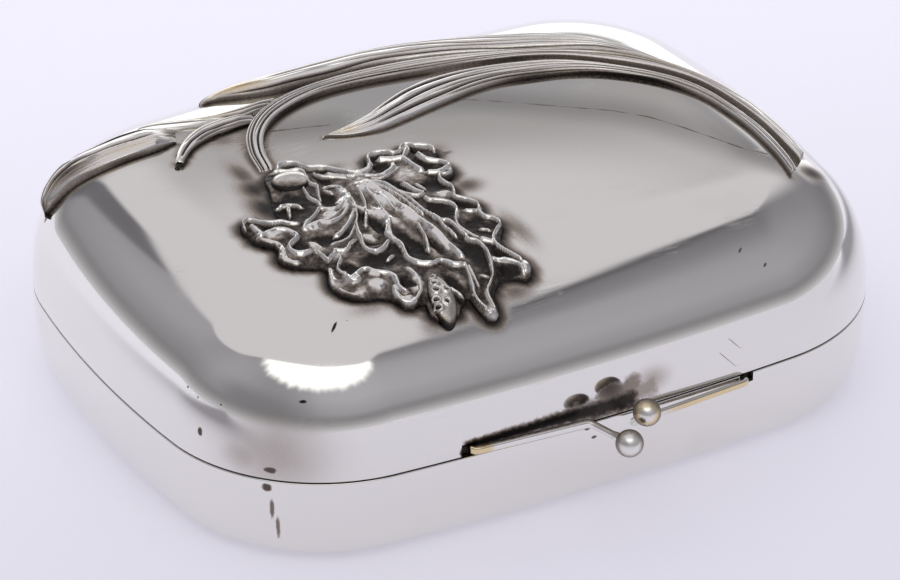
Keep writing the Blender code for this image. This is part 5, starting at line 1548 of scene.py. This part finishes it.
# Grooves of each long piece: place across, depth in millimetres, width, and where they start and end
MAIN_STEM_GROOVES = [
    (0.16, 0.3, 0.035, -1, 2), (0.34, 0.4, 0.05, -1, 0.75), (0.5, 0.25, 0.04, 0.1, 2),
    (0.66, 0.45, 0.045, -1, 0.8), (0.8, 0.25, 0.03, 0.25, 0.9),
]
UPPER_LEAF_GROOVES = [
    (0.22, 0.4, 0.04, 0.16, 2), (0.4, 0.25, 0.03, 0.4, 2), (0.56, 0.45, 0.035, 0.22, 2),
    (0.74, 0.25, 0.03, 0.35, 2), (0.88, 0.4, 0.04, 0.1, 2),
]
MIDDLE_LEAF_GROOVES = [
    (0.2, 0.6, 0.045, 0.14, 2), (0.36, 0.25, 0.03, 0.3, 0.8), (0.48, 0.55, 0.045, 0.1, 2),
    (0.62, 0.25, 0.03, 0.25, 2), (0.74, 0.5, 0.045, 0.12, 0.8), (0.87, 0.2, 0.03, 0.25, 2),
]
LEFT_STEM_GROOVES = [(0.4, 0.25, 0.10, -1, 0.5), (0.75, 0.3, 0.10, -1, 0.4)]
TENDRIL_GROOVES = [(0.28, 0.15, 0.05, -1, 0.7), (0.58, 0.45, 0.08, -1, 0.9), (0.82, 0.25, 0.06, -1, 0.6)]
BUD_GROOVES = [
    (0.22, 0.5, 0.05, 0.12, 0.75), (0.56, 0.4, 0.04, 0.15, 2), (0.4, 0.3, 0.04, 0.55, 2),
]


class TRINKET_OT_relief(Operator):
    """Carves the plant on the lid: sheaf of stems, leaves, bud, cup and seed pod"""
    bl_idname = "trinket.relief"
    bl_label = "Relief"

    def execute(self, context):
        relief = settings().relief
        form = BodyForm(settings().body)
        look = silver_material("relief_silver", patina_and_shade=True, gilt=True, dull=0.05)
        build_leaf(look, form)
        build_sheaf("main_stem_relief", "main_stem", form, MAIN_STEM_EDGES, relief.stem_height,
                    MAIN_STEM_GROOVES, (460, 48), look, 0.4, blunt=30, wall=0.12,
                    shades=[((0.62, 0.5), (0.10, 0.14), 0.4), ((0.34, 0.82), (0.20, 0.12), 0.35)],
                    warm=[((0.68, 0.5), (0.14, 0.4), 0.45)])
        build_sheaf("upper_leaf_relief", "upper_leaf", form, UPPER_LEAF_EDGES, relief.upper_leaf_height,
                    UPPER_LEAF_GROOVES, (380, 60), look, 1.9, wall=0.07,
                    levels=((0, 1), (0.40, 1), (0.62, 0.6), (0.8, 0.35), (1, 0.3)),
                    shades=[((0.02, 0.5), (0.04, 0.5), 0.4), ((0.30, 0.92), (0.20, 0.05), 0.4)],
                    warm=[((0.12, 0.70), (0.10, 0.22), 0.8)])
        build_sheaf("middle_leaf_relief", "middle_leaf", form, MIDDLE_LEAF_EDGES, relief.middle_leaf_height,
                    MIDDLE_LEAF_GROOVES, (400, 56), look, 3.1, blunt=30, wall=0.06,
                    shades=[((0.42, 0.92), (0.10, 0.10), 0.5), ((0.60, 0.96), (0.12, 0.06), 0.4)],
                    warm=[((0.05, 0.5), (0.04, 0.5), 0.6), ((0.70, 0.7), (0.16, 0.3), 0.4)])
        build_sheaf("left_stem_relief", "left_stem", form, LEFT_STEM_EDGES, relief.tendril_height,
                    LEFT_STEM_GROOVES, (170, 24), look, 0.9, wall=0.1, warm=[((0.45, 0.5), (0.3, 0.6), 0.5)])
        build_sheaf("tendril_relief", "tendril", form, TENDRIL_EDGES, relief.tendril_height,
                    TENDRIL_GROOVES, (150, 28), look, 2.2, blunt=12, wall=0.12)
        build_sheaf("bud_relief", "bud", form, BUD_EDGES, relief.bud_height, BUD_GROOVES, (240, 70), look,
                    4.0, wall=0.07,
                    shades=[((0.97, 0.5), (0.10, 0.6), 0.7), ((0.25, 0.14), (0.10, 0.12), 0.9),
                            ((0.66, 0.72), (0.14, 0.18), 0.6), ((0.60, 0.06), (0.35, 0.06), 0.6),
                            ((0.02, 0.4), (0.05, 0.4), 0.6)],
                    warm=[((0.30, 0.78), (0.32, 0.16), 0.45), ((0.68, 0.66), (0.16, 0.22), 0.9),
                          ((0.95, 0.5), (0.10, 0.5), 0.5)])
        build_mound("cup_relief", "flower_cup", form, (-31.6, 4.2), (4.0, 3.8), 0, 1.9, look, 2.4,
                    rubbed=0.8, shaded=0.9)
        rings = [((-25.2, -38.7), 0.7), ((-25.7, -40.6), 0.65), ((-26.2, -42.2), 0.7), ((-27.3, -44.3), 0.7),
                 ((-27.7, -45.8), 0.65), ((-24.3, -42.7), 0.6), ((-25.6, -45.2), 0.6)]
        build_mound("pod_relief", "seed_pod", form, (-25.7, -43.8), (6.4, 2.5), 78, 2.0, look, 4.0, rings,
                    rubbed=0.70)
        return {'FINISHED'}


# Stage

def world_light():
    """Room seen in the metal: pale ceiling card, bright soft window, dim band and white backdrop."""
    stage = settings().stage
    world = bpy.data.worlds.new("studio")
    bpy.context.scene.world = world
    world.use_nodes = True
    world.node_tree.nodes.clear()
    bench = NodeBench(world.node_tree)
    way = bench.add("TexCoord", output=0)
    parts = bench.add("SeparateXYZ", {0: way}).node
    x, y, z = parts.outputs
    rise = bench.times(bench.math('ARCSINE', z), math.degrees(1))
    turn = bench.times(bench.math('ARCTAN2', x, bench.times(y, -1.0)), math.degrees(1))

    edge = bench.times(90.0, bench.curve(turn, [(azimuth, elevation / 90) for azimuth,
                                                elevation in ((-180, 37), (-165, 39), (-150, 40), (-120, 48),
                                                              (-90, 62), (-60, 67), (-30, 67), (0, 65),
                                                              (25, 62), (45, 63), (75, 66), (100, 63),
                                                              (115, 58), (124, 48), (133, 36), (141, 30),
                                                              (160, 30), (180, 33))]))

    level = bench.curve(turn, [(-180, 0.16), (-168, 0.17), (-163, 0.34), (-148, 0.38), (-130, 0.34),
                               (-100, 0.38), (-60, 0.31), (-42, 0.36), (-20, 0.45), (10, 0.45), (30, 0.41),
                               (60, 0.37), (90, 0.32), (120, 0.26), (150, 0.28), (180, 0.18)])
    level = bench.times(level, bench.curve(bench.times(rise, 2.0),
                                           [(-180, 0.72), (10, 0.72), (20, 0.76), (34, 0.84), (48, 0.93),
                                            (62, 1.0), (80, 1.0), (96, 0.98), (112, 0.88), (130, 0.78),
                                            (180, 0.78)]))
    dim = bench.mix(level, (0.0, 0.0, 0.0), tuple(value / 0.36 for value in stage.band))
    shade = bench.times(bench.step(turn, -108, -82), bench.step(turn, -30, -75))
    low_shade = bench.times(shade, bench.step(rise, 38, 18))
    dim = bench.mix(low_shade, dim, tuple(0.66 * v for v in stage.band))
    near_edge = bench.times(bench.step(bench.minus(edge, rise), 12, 0),
                            bench.times(bench.step(turn, 25, 50), bench.step(turn, 135, 110)))
    dim = bench.mix(bench.times(near_edge, 0.6), dim, tuple(0.45 * v for v in stage.band))
    rim = bench.times(bench.step(bench.minus(edge, rise), 3.0, 0.5),
                      bench.times(bench.step(turn, 55, 75), bench.step(turn, 128, 116)))
    dim = bench.mix(bench.times(rim, 0.75), dim, (0.05, 0.05, 0.055))
    above = bench.step(bench.minus(rise, edge), -1.0, 1.0)
    tone = bench.mix(above, dim, tuple(stage.card))

    back = bench.most(bench.step(turn, 118, 134), bench.step(turn, -176, -180))
    back_tone = bench.mix(bench.step(rise, 26, 33), (0.40, 0.385, 0.40), tuple(stage.card))
    back_tone = bench.mix(bench.step(rise, 25.5, 23.5), back_tone, (0.35, 0.34, 0.37))
    back_tone = bench.mix(bench.step(rise, 22, 17), back_tone, (1.35, 1.35, 1.4))
    tone = bench.mix(back, tone, back_tone)

    off_axis = bench.plus(turn, 25.0)
    across = bench.most(bench.math('DIVIDE', off_axis, 56.0), bench.math('DIVIDE', off_axis, -74.0))
    rays = bench.noise(bench.add("CombineXYZ", {0: bench.times(turn, 0.22), 1: bench.times(rise, 0.02)}), 1.0,
                       3.0, 0.6)
    sill = bench.plus(39.0, bench.times(bench.math('POWER', across, 2.2), 22.0))
    sill = bench.plus(sill, bench.times(bench.minus(rays, 0.5), 14.0))
    glow = bench.times(bench.step(bench.minus(rise, sill), -3.0, 7.0), bench.minus(1.0, above))
    glow = bench.times(glow, bench.step(across, 1.1, 0.9))
    tone = bench.mix(glow, tone, (1.5, 1.5, 1.48))

    ground = bench.curve(bench.times(rise, 6.0), [(-180, 0.68), (-60, 0.64), (0, 0.58), (18, 0.44), (36, 0.33),
                                                  (54, 0.26), (72, 0.24), (180, 0.24)])
    ground = bench.mix(ground, (0.0, 0.0, 0.0), (1.0, 0.98, 1.05))
    front = bench.minus(1.0, back)
    tone = bench.mix(bench.times(bench.step(rise, 15.0, 8.0), front), tone, ground)
    background = bench.add("Background", {"Color": tone, "Strength": 1.0})
    output = world.node_tree.nodes.new("ShaderNodeOutputWorld")
    world.node_tree.links.new(background, output.inputs["Surface"])


def floor_material():
    """Pale seamless sheet, lighter towards the back, that keeps a soft shadow of the box."""
    stage = settings().stage
    made, bench, shader = new_material("floor_sheet", stage.floor_near)
    place = bench.add("TexCoord", output=3)
    parts = bench.add("SeparateXYZ", {0: place}).node
    depth = bench.plus(bench.times(parts.outputs[1], 0.87), bench.times(parts.outputs[0], 0.25))
    tone = bench.mix(bench.step(depth, -0.09, 0.16), tuple(stage.floor_near), tuple(stage.floor_far))
    # Painted shade: the floor beside the box is darker to every ray but the camera's, so the metal reflects it
    # darker than the camera sees it
    beside = bench.times(bench.step(bench.math('ABSOLUTE', parts.outputs[0]), 0.11, 0.26),
                         bench.times(bench.step(parts.outputs[1], 0.17, 0.04),
                                     bench.step(parts.outputs[1], -0.13, -0.04)))
    paths = bench.add("LightPath").node
    beside = bench.times(beside, bench.minus(0.85, paths.outputs["Is Camera Ray"]))
    tone = bench.mix(bench.most(beside, 0.0), tone, (0.25, 0.24, 0.27))
    fibres = bench.noise(place, 260.0, 3.0)
    shader.inputs["Roughness"].default_value = 0.9
    shader.inputs["Specular IOR Level"].default_value = 0.1
    bench.feed(shader.inputs["Base Color"], tone)
    bump = bench.add("Bump", {"Strength": 0.05, "Distance": 0.0005, "Height": fibres})
    bench.feed(shader.inputs["Normal"], bump)
    seen = bench.most(paths.outputs["Is Camera Ray"], paths.outputs["Is Glossy Ray"])
    seen = bench.most(seen, paths.outputs["Is Transmission Ray"])
    bench.feed(shader.inputs["Emission Color"], tone)
    bench.feed(shader.inputs["Emission Strength"], bench.times(seen, 0.36))
    return made


class TRINKET_OT_stage(Operator):
    """Lays the floor, lights the room and sets up the camera"""
    bl_idname = "trinket.stage"
    bl_label = "Stage"

    def execute(self, context):
        stage = settings().stage
        scene = context.scene
        scene.view_settings.view_transform = 'Standard'
        mesh = bmesh.new()
        bmesh.ops.create_grid(mesh, x_segments=1, y_segments=1, size=3.0)
        data = bpy.data.meshes.new("floor")
        mesh.to_mesh(data)
        mesh.free()
        data.materials.append(floor_material())
        floor = bpy.data.objects.new("floor", data)
        scene.collection.objects.link(floor)
        world_light()

        camera = bpy.data.objects.new("camera", bpy.data.cameras.new("camera"))
        scene.collection.objects.link(camera)
        camera.data.sensor_width = 36
        camera.data.lens = stage.camera_lens
        camera.data.clip_start, camera.data.clip_end = 0.01, 20
        azimuth, elevation = stage.camera_azimuth, stage.camera_elevation
        back = Vector((math.sin(azimuth) * math.cos(elevation), -math.cos(azimuth) * math.cos(elevation),
                       math.sin(elevation)))
        camera.location = Vector(stage.camera_target) + back * stage.camera_distance
        camera.rotation_mode = 'QUATERNION'
        camera.rotation_quaternion = back.to_track_quat('Z', 'Y')
        scene.camera = camera
        return {'FINISHED'}


class TRINKET_PT_panel(Panel):
    """Lists the steps that dress the box"""
    bl_label = "Trinket Box"
    bl_idname = "TRINKET_PT_panel"
    bl_space_type = 'VIEW_3D'
    bl_region_type = 'UI'
    bl_category = "Trinket Box"

    def draw(self, context):
        for step in STEPS:
            self.layout.operator(step.bl_idname)


STEPS = [TRINKET_OT_small_parts, TRINKET_OT_skins, TRINKET_OT_clasp, TRINKET_OT_hinge, TRINKET_OT_lining,
         TRINKET_OT_relief, TRINKET_OT_stage]
GROUPS = [TrinketBodySizes, TrinketClaspSizes, TrinketHingeSizes, TrinketLiningSizes, TrinketReliefSizes,
          TrinketFinish, TrinketStage, TrinketBoxSettings]


def register():
    for item in GROUPS + STEPS + [TRINKET_PT_panel]:
        bpy.utils.register_class(item)
    bpy.types.Scene.trinket_box = PointerProperty(type=TrinketBoxSettings)


def unregister():
    del bpy.types.Scene.trinket_box
    for item in reversed(GROUPS + STEPS + [TRINKET_PT_panel]):
        bpy.utils.unregister_class(item)


def main():
    register()
    for step in STEPS:
        group, name = step.bl_idname.split(".")
        getattr(getattr(bpy.ops, group), name)()


if __name__ == "__main__":
    main()
